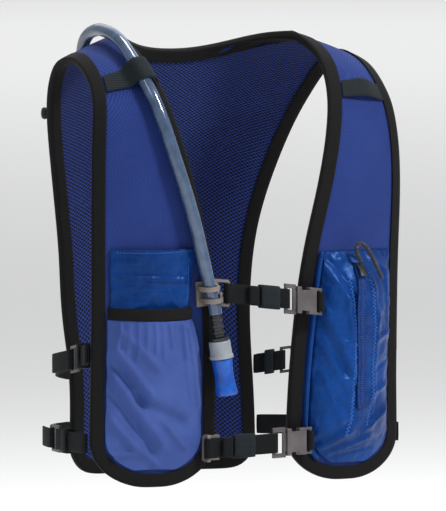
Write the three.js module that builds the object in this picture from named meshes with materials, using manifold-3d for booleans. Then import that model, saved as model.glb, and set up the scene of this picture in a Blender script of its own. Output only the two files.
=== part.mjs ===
// Running hydration vest in millimetres: +Z up, the wearer faces -Y and their left side is +X.
// The origin is midway between the undersides of the two shoulder straps, where the vest hangs.
import * as THREE from "three";
import { mergeVertices } from "three/addons/utils/BufferGeometryUtils.js";
import Module from "manifold-3d";

const wasm = await Module();
wasm.setup();

// Overall sizes
const CHEST_HALF_WIDTH = 130;
const HALF_DEPTH = 80;
const DROP = 330;
const HEM_ROUND = 34;
const BACK_CORNER = 20;
const GAP = 0.3;

// Cloth and tape
const PANEL_THICKNESS = 3;
const BINDING_WIDTH = 9;
const BINDING_TAPE = 0.8;
const BINDING_EASE = 0.6;
const NYLON_THICKNESS = 1;
const STRETCH_THICKNESS = 1.2;
const ELASTIC_THICKNESS = 1.4;
const SLEEVE_THICKNESS = 1.2;
const SEAM_GAP = 0.012;
const JOIN_GAP = 2.8;

// Pockets: heights are below the origin, margins are from a panel's edge
const UPPER_POCKET_TOP = 149;
const UPPER_POCKET_BOTTOM = 208;
const UPPER_POCKET_DEPTH = 4;
const STRETCH_TOP = 193;
const STRETCH_BAND = 9;
const STRETCH_DEPTH = 12;
const STRETCH_MARGIN_TOP = 19;
const STRETCH_MARGIN = 11.5;
const ZIP_POCKET_TOP = 154;
const ZIP_POCKET_DEPTH = 17;
const WELT_DIAMETER = 4.4;
const ZIP_WIDTH = 7;
const ZIP_SLOT = 3;
const ZIP_TOP = 162;
const ZIP_BOTTOM = 274;
const POUCH_DEPTH = 24;
const POUCH_MARGIN = 12;

// Drinking hose and mouthpiece
const HOSE_DIAMETER = 10;
const HOSE_SIDES = 10;
const HOSE_STEPS = 24;
const BARB_LENGTH = 17;
const WASHER_RADIUS = 7.6;
const WASHER_THICKNESS = 2.2;
const COLLAR_LENGTH = 13.5;
const COLLAR_RADIUS = 9.4;
const VALVE_LENGTH = 28;
const VALVE_RADIUS = 9;

// Straps and buckles
const WEBBING_WIDTH = 15;
const WEBBING_THICKNESS = 1.5;
const KEEPER_HEIGHT = 12;
const KEEPER_RIGHT_HEIGHT = 23;
const KEEPER_LEFT_HEIGHT = 33;
// the lower straps keep their height above the hem
const LOWER_HOOK_RISE = 29;
const LOWER_BUCKLE_RISE = 32;
const LOWER_LOCK_RISE = 34;
const LOWER_BACK_RISE = 33;
const BAR = 2.2;
const RAIL = 2.2;
const HOOK_HEIGHT = 19;
const HOSE_EASE = 0.4;
const CLIP_EASE = 1.2;
const BACK_ZIP_ROWS = 5;
const BACK_ZIP_TOP = 3;
const PULL_CORD = 2.6;
const KNOB_RADIUS = 2.8;

const COLOURS = {
  mesh: { color: 0x34479a, roughness: 0.9, metalness: 0 },
  backMesh: { color: 0x2b3a8f, roughness: 0.9, metalness: 0 },
  nylon: { color: 0x2457a8, roughness: 0.45, metalness: 0 },
  stretch: { color: 0x3f50a5, roughness: 0.8, metalness: 0 },
  tape: { color: 0x1c1a1a, roughness: 0.85, metalness: 0 },
  elastic: { color: 0x2f3d42, roughness: 0.9, metalness: 0 },
  webbing: { color: 0x1b262b, roughness: 0.85, metalness: 0 },
  buckle: { color: 0x5b5456, roughness: 0.5, metalness: 0 },
  hook: { color: 0x8d837c, roughness: 0.5, metalness: 0 },
  hose: { color: 0x3a4f6e, roughness: 0.15, metalness: 0 },
  black: { color: 0x151515, roughness: 0.5, metalness: 0 },
  collar: { color: 0xb9bdc0, roughness: 0.5, metalness: 0 },
  valve: { color: 0x1d6cc4, roughness: 0.35, metalness: 0 },
};

const vest = new THREE.Group();

function add(name, geometry, finish) {
  const mesh = new THREE.Mesh(geometry, new THREE.MeshStandardMaterial(COLOURS[finish]));
  mesh.name = name;
  vest.add(mesh);
  return mesh;
}

// Shared ways of making a closed solid

function facingOut(geometry) {
  const bare = new THREE.BufferGeometry().setAttribute("position", geometry.getAttribute("position"));
  if (geometry.index) bare.setIndex(geometry.index);
  const merged = mergeVertices(bare, 1e-3);
  const corners = merged.getAttribute("position");
  const index = merged.index.array;
  const [a, b, c] = [new THREE.Vector3(), new THREE.Vector3(), new THREE.Vector3()];
  let volume = 0;
  for (let i = 0; i < index.length; i += 3) {
    a.fromBufferAttribute(corners, index[i]);
    b.fromBufferAttribute(corners, index[i + 1]);
    c.fromBufferAttribute(corners, index[i + 2]);
    volume += a.dot(b.cross(c));
  }
  if (volume < 0) {
    for (let i = 0; i < index.length; i += 3) [index[i], index[i + 1]] = [index[i + 1], index[i]];
  }
  merged.computeVertexNormals();
  return merged;
}

function fromLists(points, triangles) {
  const geometry = new THREE.BufferGeometry().setFromPoints(points);
  geometry.setIndex(triangles);
  return facingOut(geometry);
}

// A wall with two faces: pointAt(i, j, face) gives its corner in row i, column j, on face -1 or 1.
function closedSheet(rows, columns, pointAt) {
  const points = [];
  const triangles = [];
  for (const face of [-1, 1])
    for (let i = 0; i <= rows; i++) for (let j = 0; j <= columns; j++) points.push(pointAt(i, j, face));
  const place = (face, i, j) => ((face > 0 ? rows + 1 : 0) + i) * (columns + 1) + j;
  const quad = (a, b, c, d) => triangles.push(a, b, c, a, c, d);
  for (let i = 0; i < rows; i++)
    for (let j = 0; j < columns; j++) {
      quad(place(1, i, j), place(1, i, j + 1), place(1, i + 1, j + 1), place(1, i + 1, j));
      quad(place(-1, i, j), place(-1, i + 1, j), place(-1, i + 1, j + 1), place(-1, i, j + 1));
    }
  for (let j = 0; j < columns; j++) {
    quad(place(-1, 0, j), place(-1, 0, j + 1), place(1, 0, j + 1), place(1, 0, j));
    quad(place(-1, rows, j), place(1, rows, j), place(1, rows, j + 1), place(-1, rows, j + 1));
  }
  for (let i = 0; i < rows; i++) {
    quad(place(-1, i, 0), place(1, i, 0), place(1, i + 1, 0), place(-1, i + 1, 0));
    quad(place(-1, i, columns), place(-1, i + 1, columns), place(1, i + 1, columns), place(1, i, columns));
  }
  return fromLists(points, triangles);
}

// A solid through a row of rings, each holding the corners of one flat contour in the same order.
function sweep(rings, contour) {
  const sides = contour.length;
  const triangles = [];
  for (let k = 0; k + 1 < rings.length; k++)
    for (let i = 0; i < sides; i++) {
      const [a, b] = [k * sides + i, k * sides + ((i + 1) % sides)];
      triangles.push(a, b, b + sides, a, b + sides, a + sides);
    }
  const flat = contour.map(([x, y]) => new THREE.Vector2(x, y));
  const cap = THREE.ShapeUtils.triangulateShape(flat, []);
  const capArea = cap.reduce((sum, face) => sum + THREE.ShapeUtils.area(face.map((n) => flat[n])), 0);
  const sameTurn = capArea * THREE.ShapeUtils.area(flat) > 0;
  const last = (rings.length - 1) * sides;
  for (const face of cap) {
    const [a, b, c] = sameTurn ? face : [face[2], face[1], face[0]];
    triangles.push(c, b, a, last + a, last + b, last + c);
  }
  return fromLists(rings.flat(), triangles);
}

function toSolid(geometry) {
  const closed = facingOut(geometry);
  return new wasm.Manifold(
    new wasm.Mesh({
      numProp: 3,
      vertProperties: closed.getAttribute("position").array,
      triVerts: new Uint32Array(closed.index.array),
    }),
  );
}

function fromSolid(solid) {
  const mesh = solid.getMesh();
  const geometry = new THREE.BufferGeometry();
  geometry.setAttribute("position", new THREE.BufferAttribute(mesh.vertProperties, mesh.numProp));
  geometry.setIndex(new THREE.BufferAttribute(mesh.triVerts, 1));
  return facingOut(geometry);
}

const join = (...pieces) => fromSolid(pieces.map(toSolid).reduce((whole, piece) => whole.add(piece)));
const cut = (piece, ...tools) =>
  fromSolid(tools.map(toSolid).reduce((whole, tool) => whole.subtract(tool), toSolid(piece)));

function box(lowX, lowY, lowZ, highX, highY, highZ) {
  const made = new THREE.BoxGeometry(highX - lowX, highY - lowY, highZ - lowZ);
  return made.translate((lowX + highX) / 2, (lowY + highY) / 2, (lowZ + highZ) / 2);
}

const lerp = THREE.MathUtils.lerp;
const smooth = (from, to, value) => THREE.MathUtils.smoothstep(value, from, to);
const named = (columns, rows) =>
  rows.map((row) => Object.fromEntries(columns.map((name, i) => [name, row[i]])));

// The cloth of the vest
// x is a share of CHEST_HALF_WIDTH, y and crown are shares of HALF_DEPTH, z is a share of DROP.

// The back, from the hem up to the neck and the shoulder seam: four lines that run up each half.
const BACK_COLUMNS = ["centreY", "centreZ", "middleX", "middleY", "middleZ"].concat(
  ["neckX", "neckY", "neckZ", "outerX", "outerY", "outerZ"],
);
const BACK_ROWS = named(BACK_COLUMNS, [
  [0.93, -1, 0.2, 0.91, -1, 0.41, 0.88, -1, 0.609, 0.825, -1],
  [0.935, -0.9, 0.2, 0.92, -0.9, 0.41, 0.885, -0.9, 0.609, 0.825, -0.9],
  [0.965, -0.78, 0.2, 0.95, -0.78, 0.4, 0.91, -0.78, 0.597, 0.838, -0.78],
  [1.03, -0.69, 0.2, 1.015, -0.69, 0.41, 0.985, -0.69, 0.608, 0.925, -0.69],
  [1.09, -0.6, 0.2, 1.075, -0.6, 0.42, 1.04, -0.6, 0.621, 0.975, -0.6],
  [1.1, -0.48, 0.21, 1.085, -0.48, 0.43, 1.04, -0.48, 0.638, 0.95, -0.48],
  [1.075, -0.365, 0.22, 1.06, -0.365, 0.46, 1.01, -0.365, 0.688, 0.888, -0.365],
  [0.98, -0.235, 0.24, 0.965, -0.235, 0.51, 0.9, -0.235, 0.774, 0.719, -0.235],
  [0.855, -0.15, 0.245, 0.84, -0.15, 0.54, 0.75, -0.15, 0.838, 0.575, -0.15],
  [0.74, -0.08, 0.24, 0.725, -0.078, 0.56, 0.55, -0.066, 0.88, 0.41, -0.095],
  [0.675, -0.042, 0.235, 0.65, -0.036, 0.56, 0.375, -0.009, 0.908, 0.225, -0.045],
  [0.613, -0.012, 0.23, 0.57, -0.005, 0.554, 0.144, 0.028, 0.919, 0, -0.024],
]);

// A front, from the shoulder seam down to the hem.
const FRONT_COLUMNS = ["innerX", "innerY", "innerZ", "outerX", "outerY", "outerZ", "crown"];
const FRONT_ROWS = named(FRONT_COLUMNS, [
  [0.554, 0.144, 0.028, 0.919, 0, -0.024, 0.01],
  [0.585, -0.075, 0.03, 0.923, -0.175, -0.023, 0.015],
  [0.6, -0.29, 0.012, 0.931, -0.34, -0.029, 0.02],
  [0.596, -0.56, -0.018, 0.946, -0.525, -0.048, 0.03],
  [0.581, -0.737, -0.052, 0.95, -0.675, -0.076, 0.04],
  [0.558, -0.875, -0.097, 0.969, -0.8, -0.115, 0.05],
  [0.531, -0.975, -0.145, 0.985, -0.85, -0.155, 0.06],
  [0.471, -1.08, -0.24, 1.006, -0.893, -0.24, 0.07],
  [0.385, -1.108, -0.373, 1.008, -0.888, -0.373, 0.07],
  [0.315, -1.088, -0.482, 1, -0.863, -0.482, 0.065],
  [0.277, -1.038, -0.645, 1, -0.856, -0.645, 0.06],
  [0.262, -0.994, -0.76, 1, -0.838, -0.76, 0.055],
  [0.254, -0.963, -0.897, 1.008, -0.838, -0.897, 0.05],
  [0.254, -0.95, -1, 1.008, -0.838, -1, 0.045],
]);

function runOf(rows, x, y, z) {
  const point = (row) =>
    new THREE.Vector3((row[x] ?? 0) * CHEST_HALF_WIDTH, row[y] * HALF_DEPTH, row[z] * DROP);
  return new THREE.CatmullRomCurve3(rows.map(point));
}

const backRuns = [
  runOf(BACK_ROWS, "none", "centreY", "centreZ"),
  runOf(BACK_ROWS, "middleX", "middleY", "middleZ"),
  runOf(BACK_ROWS, "neckX", "neckY", "neckZ"),
  runOf(BACK_ROWS, "outerX", "outerY", "outerZ"),
];
// where the neck edge meets the shoulder seam, from the centre line to the outer edge
const NECK_SHARE = 2 / 3;
const backLines = new Map();

function backLine(row) {
  if (!backLines.has(row)) {
    const half = backRuns.map((run) => run.getPoint(row));
    const mirrored = half.slice(1).map((p) => new THREE.Vector3(-p.x, p.y, p.z));
    backLines.set(row, new THREE.CatmullRomCurve3([...mirrored.reverse(), ...half]));
  }
  return backLines.get(row);
}

const backPoint = (row, share) => backLine(row).getPoint((THREE.MathUtils.clamp(share, -1, 1) + 1) / 2);

const frontInner = runOf(FRONT_ROWS, "innerX", "innerY", "innerZ");
const frontOuter = runOf(FRONT_ROWS, "outerX", "outerY", "outerZ");
const frontLines = new Map();

function frontLine(row) {
  if (!frontLines.has(row)) {
    const [inner, outer] = [frontInner.getPoint(row), frontOuter.getPoint(row)];
    const step = 0.01;
    const [above, below] = [Math.max(0, row - step), Math.min(1, row + step)];
    const down = frontInner.getPoint(below).add(frontOuter.getPoint(below));
    down.sub(frontInner.getPoint(above)).sub(frontOuter.getPoint(above));
    const out = down.cross(outer.clone().sub(inner)).normalize();
    const place = row * (FRONT_ROWS.length - 1);
    const at = Math.min(Math.floor(place), FRONT_ROWS.length - 2);
    const crown = lerp(FRONT_ROWS[at].crown, FRONT_ROWS[at + 1].crown, place - at) * HALF_DEPTH;
    frontLines.set(row, { inner, outer, out, crown });
  }
  return frontLines.get(row);
}

function frontPoint(side, row, share) {
  const { inner, outer, out, crown } = frontLine(row);
  const point = inner.clone().lerp(outer, share).addScaledVector(out, crown * 4 * share * (1 - share));
  point.x *= side;
  return point;
}

// The outward normal of a surface that takes a row and a share.
// turn is -1 where the share runs the other way.
function normalOf(surface, row, share, turn) {
  const step = 0.004;
  const along = surface(Math.min(1, row + step), share).sub(surface(Math.max(0, row - step), share));
  const across = surface(row, share + step).sub(surface(row, share - step));
  return along.cross(across).normalize().multiplyScalar(turn);
}

const backNormal = (row, share) => normalOf(backPoint, row, share, 1);
const frontNormal = (side, row, share) => normalOf((r, s) => frontPoint(side, r, s), row, share, side);
const onBack = (row, share, lift) => backPoint(row, share).addScaledVector(backNormal(row, share), lift);

// The row of a front whose middle lies at a height, and the same for the back's centre line.
function rowWhere(low, high, isPast) {
  let [from, to] = [low, high];
  for (let turn = 0; turn < 24; turn++) {
    const middle = (from + to) / 2;
    if (isPast(middle)) to = middle;
    else from = middle;
  }
  return (from + to) / 2;
}

const frontRows = new Map();

function frontRowAt(z) {
  if (!frontRows.has(z)) frontRows.set(z, rowWhere(0.1, 1, (row) => frontPoint(1, row, 0.5).z < z));
  return frontRows.get(z);
}

const backRowAt = (z) => rowWhere(0, 1, (row) => backPoint(row, 0).z > z);
const frontWidth = (row) => frontLine(row).inner.distanceTo(frontLine(row).outer);

// A point of a front at a height, a distance in from its inner edge as a share of the width, and a lift.
function onFront(side, z, share, lift) {
  const row = frontRowAt(z);
  return frontPoint(side, row, share).addScaledVector(frontNormal(side, row, share), lift);
}

// Front panels
const FRONT_COLUMN_COUNT = 8;
const FRONT_STEPS = 14;
const HEM_STEPS = 5;
const HEM_TURN = 1.3;
const hemTopRow = frontRowAt(-DROP + HEM_ROUND);
const frontLevels = [];
for (let k = 0; k <= FRONT_STEPS; k++)
  frontLevels.push({ row: lerp(SEAM_GAP, hemTopRow, k / FRONT_STEPS), reach: 1 });
for (let k = 1; k <= HEM_STEPS; k++) {
  const turn = (HEM_TURN * k) / HEM_STEPS;
  frontLevels.push({ row: frontRowAt(-DROP + HEM_ROUND * (1 - Math.sin(turn))), reach: Math.cos(turn) });
}
const frontShare = (level, column) => 0.5 + (column / FRONT_COLUMN_COUNT - 0.5) * level.reach;

// A panel with its neck edge moved out by grow, so that a copy can stand for the panel and its clearance.
function frontPanel(side, thickness, grow) {
  return closedSheet(frontLevels.length - 1, FRONT_COLUMN_COUNT, (i, j, face) => {
    const share = frontShare(frontLevels[i], j);
    const normal = frontNormal(side, frontLevels[i].row, share);
    const point = frontPoint(side, frontLevels[i].row, share).addScaledVector(normal, (face * thickness) / 2);
    const outwards = frontPoint(side, frontLevels[i].row, -1).sub(frontPoint(side, frontLevels[i].row, 0));
    return j ? point : point.addScaledVector(outwards.normalize(), grow);
  });
}
add("front_panel_right", frontPanel(-1, PANEL_THICKNESS, 0), "mesh");
add("front_panel_left", frontPanel(1, PANEL_THICKNESS, 0), "mesh");

// Back panel
const BACK_COLUMN_COUNT = 12;
const BACK_STEPS = 12;
const CORNER_STEPS = 3;
const BACK_EDGE_STEP = 0.01;
const backCornerRow = backRowAt(-DROP + BACK_CORNER);
const backLevels = [];
for (let k = 0; k < CORNER_STEPS; k++) {
  const turn = ((k + 0.5) / CORNER_STEPS) * (Math.PI / 2);
  const row = k ? backRowAt(-DROP + BACK_CORNER * (1 - Math.cos(turn))) : 0;
  const loss = BACK_CORNER * (1 - Math.sin(turn));
  backLevels.push({ row, reach: 1 - loss / backPoint(row, 1).x });
}
for (let k = 0; k <= BACK_STEPS; k++)
  backLevels.push({ row: lerp(backCornerRow, 1, k / BACK_STEPS), reach: 1 });
const backShare = (level, column) => ((2 * column) / BACK_COLUMN_COUNT - 1) * level.reach;

function backPanel(thickness, grow) {
  return closedSheet(backLevels.length - 1, BACK_COLUMN_COUNT, (i, j, face) => {
    const share = backShare(backLevels[i], j);
    const point = onBack(backLevels[i].row, share, (face * thickness) / 2);
    const outwards = backPoint(1, share).sub(backPoint(1 - BACK_EDGE_STEP, share)).normalize();
    return backLevels[i].row < 1 ? point : point.addScaledVector(outwards, grow);
  });
}
add("back_panel", backPanel(PANEL_THICKNESS, 0), "backMesh");

// Bindings: tape folded over the raw edges as a U, with its legs on both faces
const legInner = PANEL_THICKNESS / 2 + BINDING_EASE;
const legOuter = legInner + BINDING_TAPE;
const nose = BINDING_EASE + BINDING_TAPE;
const BINDING_SECTION = [
  [BINDING_WIDTH, legOuter],
  [-nose, legOuter],
  [-nose, -legOuter],
  [BINDING_WIDTH, -legOuter],
  [BINDING_WIDTH, -legInner],
  [-BINDING_EASE, -legInner],
  [-BINDING_EASE, legInner],
  [BINDING_WIDTH, legInner],
];

// The row and share of a surface nearest to a target, from a first guess.
function nearest(surface, guess, target) {
  let [row, share] = guess;
  for (let turn = 0; turn < 5; turn++) {
    const rowStep = row > 0.5 ? -0.005 : 0.005;
    const shareStep = share > 0.5 ? -0.005 : 0.005;
    const here = surface(row, share);
    const miss = target.clone().sub(here);
    const byRow = surface(row + rowStep, share).sub(here).divideScalar(rowStep);
    const byShare = surface(row, share + shareStep).sub(here).divideScalar(shareStep);
    const [rr, rs, ss] = [byRow.dot(byRow), byRow.dot(byShare), byShare.dot(byShare)];
    const [mr, ms] = [miss.dot(byRow), miss.dot(byShare)];
    const scale = rr * ss - rs * rs;
    row = THREE.MathUtils.clamp(row + (mr * ss - ms * rs) / scale, 0, 1);
    share += (ms * rr - mr * rs) / scale;
  }
  return [row, share];
}

// Each item of the path has a surface with its normal, a place on its edge and a point further inside.
function bindingAlong(path) {
  const points = path.map(({ surface, place }) => surface(...place));
  const rings = path.map(({ surface, normal, place, inside }, k) => {
    const next = points[Math.min(path.length - 1, k + 1)];
    const along = next.clone().sub(points[Math.max(0, k - 1)]).normalize();
    const up = normal(...place);
    const inward = inside.clone().sub(points[k]);
    inward.addScaledVector(along, -inward.dot(along));
    inward.addScaledVector(up, -inward.dot(up)).normalize();
    const legEnd = nearest(surface, place, points[k].clone().addScaledVector(inward, BINDING_WIDTH));
    const [legPoint, legUp] = [surface(...legEnd), normal(...legEnd)];
    return BINDING_SECTION.map(([inset, lift]) =>
      inset > 0
        ? legPoint.clone().addScaledVector(legUp, lift)
        : points[k].clone().addScaledVector(inward, inset).addScaledVector(up, lift),
    );
  });
  return sweep(rings, BINDING_SECTION);
}

function frontEdge(side, level, column) {
  const share = frontShare(level, column);
  const surface = (row, at) => frontPoint(side, row, at);
  return {
    surface,
    normal: (row, at) => frontNormal(side, row, at),
    place: [level.row, share],
    inside: surface(Math.min(level.row, hemTopRow) * 0.98, lerp(share, 0.5, 0.3)),
  };
}

const backEdge = (level, share, insideRow, insideShare) => ({
  surface: backPoint,
  normal: backNormal,
  place: [level.row, share],
  inside: backPoint(insideRow, insideShare),
});

function outerEdge(side) {
  const path = [];
  const hem = backLevels[0];
  const centreGap = 0.004;
  for (const share of [centreGap, 0.25, 0.5, 0.75])
    path.push(backEdge(hem, side * share * hem.reach, 0.1, side * share * hem.reach));
  for (const level of backLevels) {
    path.push(backEdge(level, side * level.reach, lerp(level.row, 0.5, 0.1), 0));
  }
  for (const level of frontLevels.slice(1)) path.push(frontEdge(side, level, FRONT_COLUMN_COUNT));
  const last = frontLevels.at(-1);
  path.push(frontEdge(side, last, FRONT_COLUMN_COUNT / 2));
  for (const level of frontLevels.slice(FRONT_STEPS + 1).reverse()) path.push(frontEdge(side, level, 0));
  path.push(frontEdge(side, { row: frontRowAt(-DROP + HEM_ROUND - JOIN_GAP), reach: 1 }, 0));
  return path;
}
add("binding_outer_right", bindingAlong(outerEdge(-1)), "tape");
add("binding_outer_left", bindingAlong(outerEdge(1)), "tape");

function neckEdge() {
  const front = (side) => frontLevels.slice(1, FRONT_STEPS + 1).map((level) => frontEdge(side, level, 0));
  const back = [];
  const top = backLevels.at(-1);
  const reach = BACK_COLUMN_COUNT * NECK_SHARE;
  for (let j = 1 - reach; j < reach; j += 2)
    back.push(backEdge(top, j / BACK_COLUMN_COUNT, 0.9, j / BACK_COLUMN_COUNT));
  return [...front(-1).reverse(), ...back, ...front(1)];
}
const clearThickness = PANEL_THICKNESS + 2 * GAP;
const clearPanels = [
  backPanel(clearThickness, GAP),
  frontPanel(-1, clearThickness, GAP),
  frontPanel(1, clearThickness, GAP),
];
add("binding_neck", cut(bindingAlong(neckEdge()), ...clearPanels), "tape");

// Pockets on the fronts
const pocketMargin = BINDING_WIDTH + 1.2;
const hemMargin = pocketMargin;
const POCKET_EASE = 0.9;

// A share of a front's width, from across 0 at the inner margin to 1 at the outer, drawn in by the round hem.
function pocketShare(z, across, innerMargin) {
  const width = frontWidth(frontRowAt(z));
  const fill = THREE.MathUtils.clamp((z + DROP - hemMargin) / (HEM_ROUND - hemMargin), 0, 1);
  const reach = Math.sqrt(1 - (1 - fill) ** 2);
  return lerp(0.5 - (0.5 - innerMargin / width) * reach, 0.5 + (0.5 - pocketMargin / width) * reach, across);
}

// Each fold runs between two places of a sheet and raises it by its height.
// Places are shares across and down.
const FOLD_COLUMNS = ["fromAcross", "fromDown", "toAcross", "toDown", "height", "width"];

function foldLift(folds, across, down) {
  return folds.reduce((sum, fold) => {
    const [dx, dy] = [fold.toAcross - fold.fromAcross, fold.toDown - fold.fromDown];
    const [px, py] = [across - fold.fromAcross, down - fold.fromDown];
    const along = THREE.MathUtils.clamp((px * dx + py * dy) / (dx * dx + dy * dy), 0, 1);
    const away = Math.hypot(px - along * dx, py - along * dy) / fold.width;
    return sum + fold.height * Math.exp(-away * away);
  }, 0);
}

// A pocket wall on a front: liftAt gives its middle above the panel's outer face.
function frontWall(side, heights, columns, marginAt, thickness, liftAt) {
  return closedSheet(heights.length - 1, columns, (i, j, face) => {
    const across = j / columns;
    const down = i / (heights.length - 1);
    const z = -heights[i];
    const lift = PANEL_THICKNESS / 2 + POCKET_EASE + thickness / 2 + liftAt(across, down, heights[i]);
    return onFront(side, z, pocketShare(z, across, marginAt(heights[i])), lift + (face * thickness) / 2);
  });
}

const steps = (from, to, count) => Array.from({ length: count + 1 }, (_, k) => lerp(from, to, k / count));
const puff = (across, power) => Math.max(0, Math.sin(Math.PI * THREE.MathUtils.clamp(across, 0, 1))) ** power;

// Stretch pocket on the right front: a gathered wall under a taped top edge
const stretchBottom = DROP - hemMargin - 3;
const STRETCH_FOLDS = named(FOLD_COLUMNS, [
  [0.02, 0.2, 0.5, 0.52, 2.2, 0.055],
  [0.05, 0.42, 0.66, 0.9, 2.4, 0.06],
  [0.05, 0.68, 0.35, 1, 1.6, 0.05],
  [0.86, 0.1, 0.97, 0.6, 1.4, 0.05],
  [0.3, 0.02, 0.32, 0.16, 1.4, 0.05],
  [0.55, 0.02, 0.56, 0.2, 1.4, 0.05],
  [0.42, 0.6, 0.8, 0.74, -2.4, 0.09],
]);

function stretchMargin(height) {
  return lerp(STRETCH_MARGIN_TOP, STRETCH_MARGIN, smooth(STRETCH_TOP, STRETCH_TOP + 45, height));
}

function stretchLift(across, down) {
  const open = puff(across, 0.7) * (1 - down ** 2.4);
  return STRETCH_DEPTH * open + foldLift(STRETCH_FOLDS, across, down) * puff(across, 0.3) * (1 - down ** 6);
}

const stretchHeights = steps(STRETCH_TOP + STRETCH_BAND + GAP, stretchBottom, 12);
const stretchWall = frontWall(-1, stretchHeights, 11, stretchMargin, STRETCH_THICKNESS, stretchLift);
add("stretch_pocket", stretchWall, "stretch");

const bandThickness = STRETCH_THICKNESS + 1;
const bandHeights = [STRETCH_TOP, STRETCH_TOP + STRETCH_BAND];
const bandLift = (across) => STRETCH_DEPTH * puff(across, 0.7);
add("stretch_pocket_band", frontWall(-1, bandHeights, 11, stretchMargin, bandThickness, bandLift), "tape");

// Ripstop pocket behind and above it, open along its top edge
const UPPER_FOLDS = named(FOLD_COLUMNS, [
  [0, 0.4, 0.9, 0.42, -1, 0.06],
  [0.75, 0.3, 0.98, 0.6, 1.2, 0.06],
  [0.55, 0.1, 0.6, 0.9, 0.8, 0.08],
]);

function upperMargin(height) {
  return lerp(STRETCH_MARGIN_TOP - 7, STRETCH_MARGIN_TOP + 2, smooth(UPPER_POCKET_TOP, STRETCH_TOP, height));
}

function upperLift(across, down) {
  const open = puff(across, 0.6) * (1 - 0.8 * down);
  return UPPER_POCKET_DEPTH * open + foldLift(UPPER_FOLDS, across, down) * puff(across, 0.4);
}

const upperHeights = steps(UPPER_POCKET_TOP, UPPER_POCKET_BOTTOM, 6);
const UPPER_COLUMNS = 8;
const UPPER_REACH = 0.965; // it stops short of the stretch pocket's outer seam
const upperWall = closedSheet(upperHeights.length - 1, UPPER_COLUMNS, (i, j, face) => {
  const [z, across] = [-upperHeights[i], (j / UPPER_COLUMNS) * UPPER_REACH];
  const raised = upperLift(j / UPPER_COLUMNS, i / (upperHeights.length - 1));
  const lift = PANEL_THICKNESS / 2 + POCKET_EASE + NYLON_THICKNESS / 2 + raised;
  return onFront(-1, z, pocketShare(z, across, upperMargin(-z)), lift + (face * NYLON_THICKNESS) / 2);
});
add("upper_pocket", upperWall, "nylon");

// Bellowed zip pocket on the left front, with a slot under its zip and a welt along its inner side
const zipPocketBottom = DROP - hemMargin - 3;
const weltMargin = pocketMargin + WELT_DIAMETER / 2;

function zipPocketMargin(height) {
  return pocketMargin + WELT_DIAMETER + 2 * GAP + 4 * smooth(DROP - HEM_ROUND, zipPocketBottom, height);
}

const ZIP_POCKET_FOLDS = named(FOLD_COLUMNS, [
  [0.05, 0.05, 0.38, 0.52, 3, 0.06],
  [0.05, 0.3, 0.42, 0.72, 2.4, 0.055],
  [0.08, 0.62, 0.36, 0.9, 1.6, 0.05],
  [0.06, 0.9, 0.5, 0.78, 2.2, 0.045],
  [0.2, 0.97, 0.85, 0.82, 2, 0.045],
  [0.8, 0.1, 0.92, 0.4, 1.6, 0.06],
  [0.78, 0.5, 0.9, 0.85, 1.8, 0.06],
  [0.22, 0.1, 0.24, 0.55, -2.5, 0.06],
]);

function zipPocketLift(across, down) {
  const open = puff(across, 0.55) * smooth(0, 0.14, down) * (1 - smooth(0.8, 1, down));
  return ZIP_POCKET_DEPTH * open * 0.9 + foldLift(ZIP_POCKET_FOLDS, across, down) * open;
}

const zipAcross = (down) => lerp(0.4, 0.47, smooth(0.2, 0.6, down));
const zipPocketHeights = steps(ZIP_POCKET_TOP, zipPocketBottom, 14);
const downOf = (height) => (height - ZIP_POCKET_TOP) / (zipPocketBottom - ZIP_POCKET_TOP);

// A strip over the zip's line: its half width, and its lifts below and above the pocket wall's middle.
function zipStrip(from, to, rows, columns, halfWidth, low, high) {
  const heights = steps(from, to, rows);
  return closedSheet(rows, columns, (i, j, face) => {
    const down = downOf(heights[i]);
    const z = -heights[i];
    const pocketWidth = frontWidth(frontRowAt(z)) - zipPocketMargin(heights[i]) - pocketMargin;
    const across = zipAcross(down) + ((2 * j) / columns - 1) * (halfWidth / pocketWidth);
    const raised = zipPocketLift(zipAcross(down), down);
    const wall = PANEL_THICKNESS / 2 + POCKET_EASE + NYLON_THICKNESS / 2 + raised;
    const share = pocketShare(z, across, zipPocketMargin(heights[i]));
    return onFront(1, z, share, wall + (face < 0 ? low : high));
  });
}

const zipWall = frontWall(1, zipPocketHeights, 11, zipPocketMargin, NYLON_THICKNESS, zipPocketLift);
const zipSlot = zipStrip(ZIP_TOP + 6, ZIP_BOTTOM - 4, 5, 1, ZIP_SLOT / 2, -6, 6);
add("zip_pocket", cut(zipWall, zipSlot), "nylon");

const zipLow = NYLON_THICKNESS / 2 + 1.3;
const ZIP_THICKNESS = 1;
add("pocket_zip", zipStrip(ZIP_TOP, ZIP_BOTTOM, 9, 2, ZIP_WIDTH / 2, zipLow, zipLow + ZIP_THICKNESS), "tape");

function weltPath() {
  return steps(ZIP_POCKET_TOP, zipPocketBottom - 4, 12).map((height) =>
    onFront(1, -height, pocketShare(-height, 0, weltMargin), PANEL_THICKNESS / 2 + GAP + WELT_DIAMETER / 2),
  );
}

function tube(points, diameter, sides, count) {
  const ring = steps(0, sides - 1, sides - 1).map((k) => {
    const turn = ((k + 0.5) / sides) * 2 * Math.PI;
    return new THREE.Vector2((Math.cos(turn) * diameter) / 2, (Math.sin(turn) * diameter) / 2);
  });
  const extrudePath = new THREE.CatmullRomCurve3(points);
  return facingOut(new THREE.ExtrudeGeometry(new THREE.Shape(ring), { steps: count, extrudePath }));
}
add("pocket_welt", tube(weltPath(), WELT_DIAMETER, 6, 14), "nylon");

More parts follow.
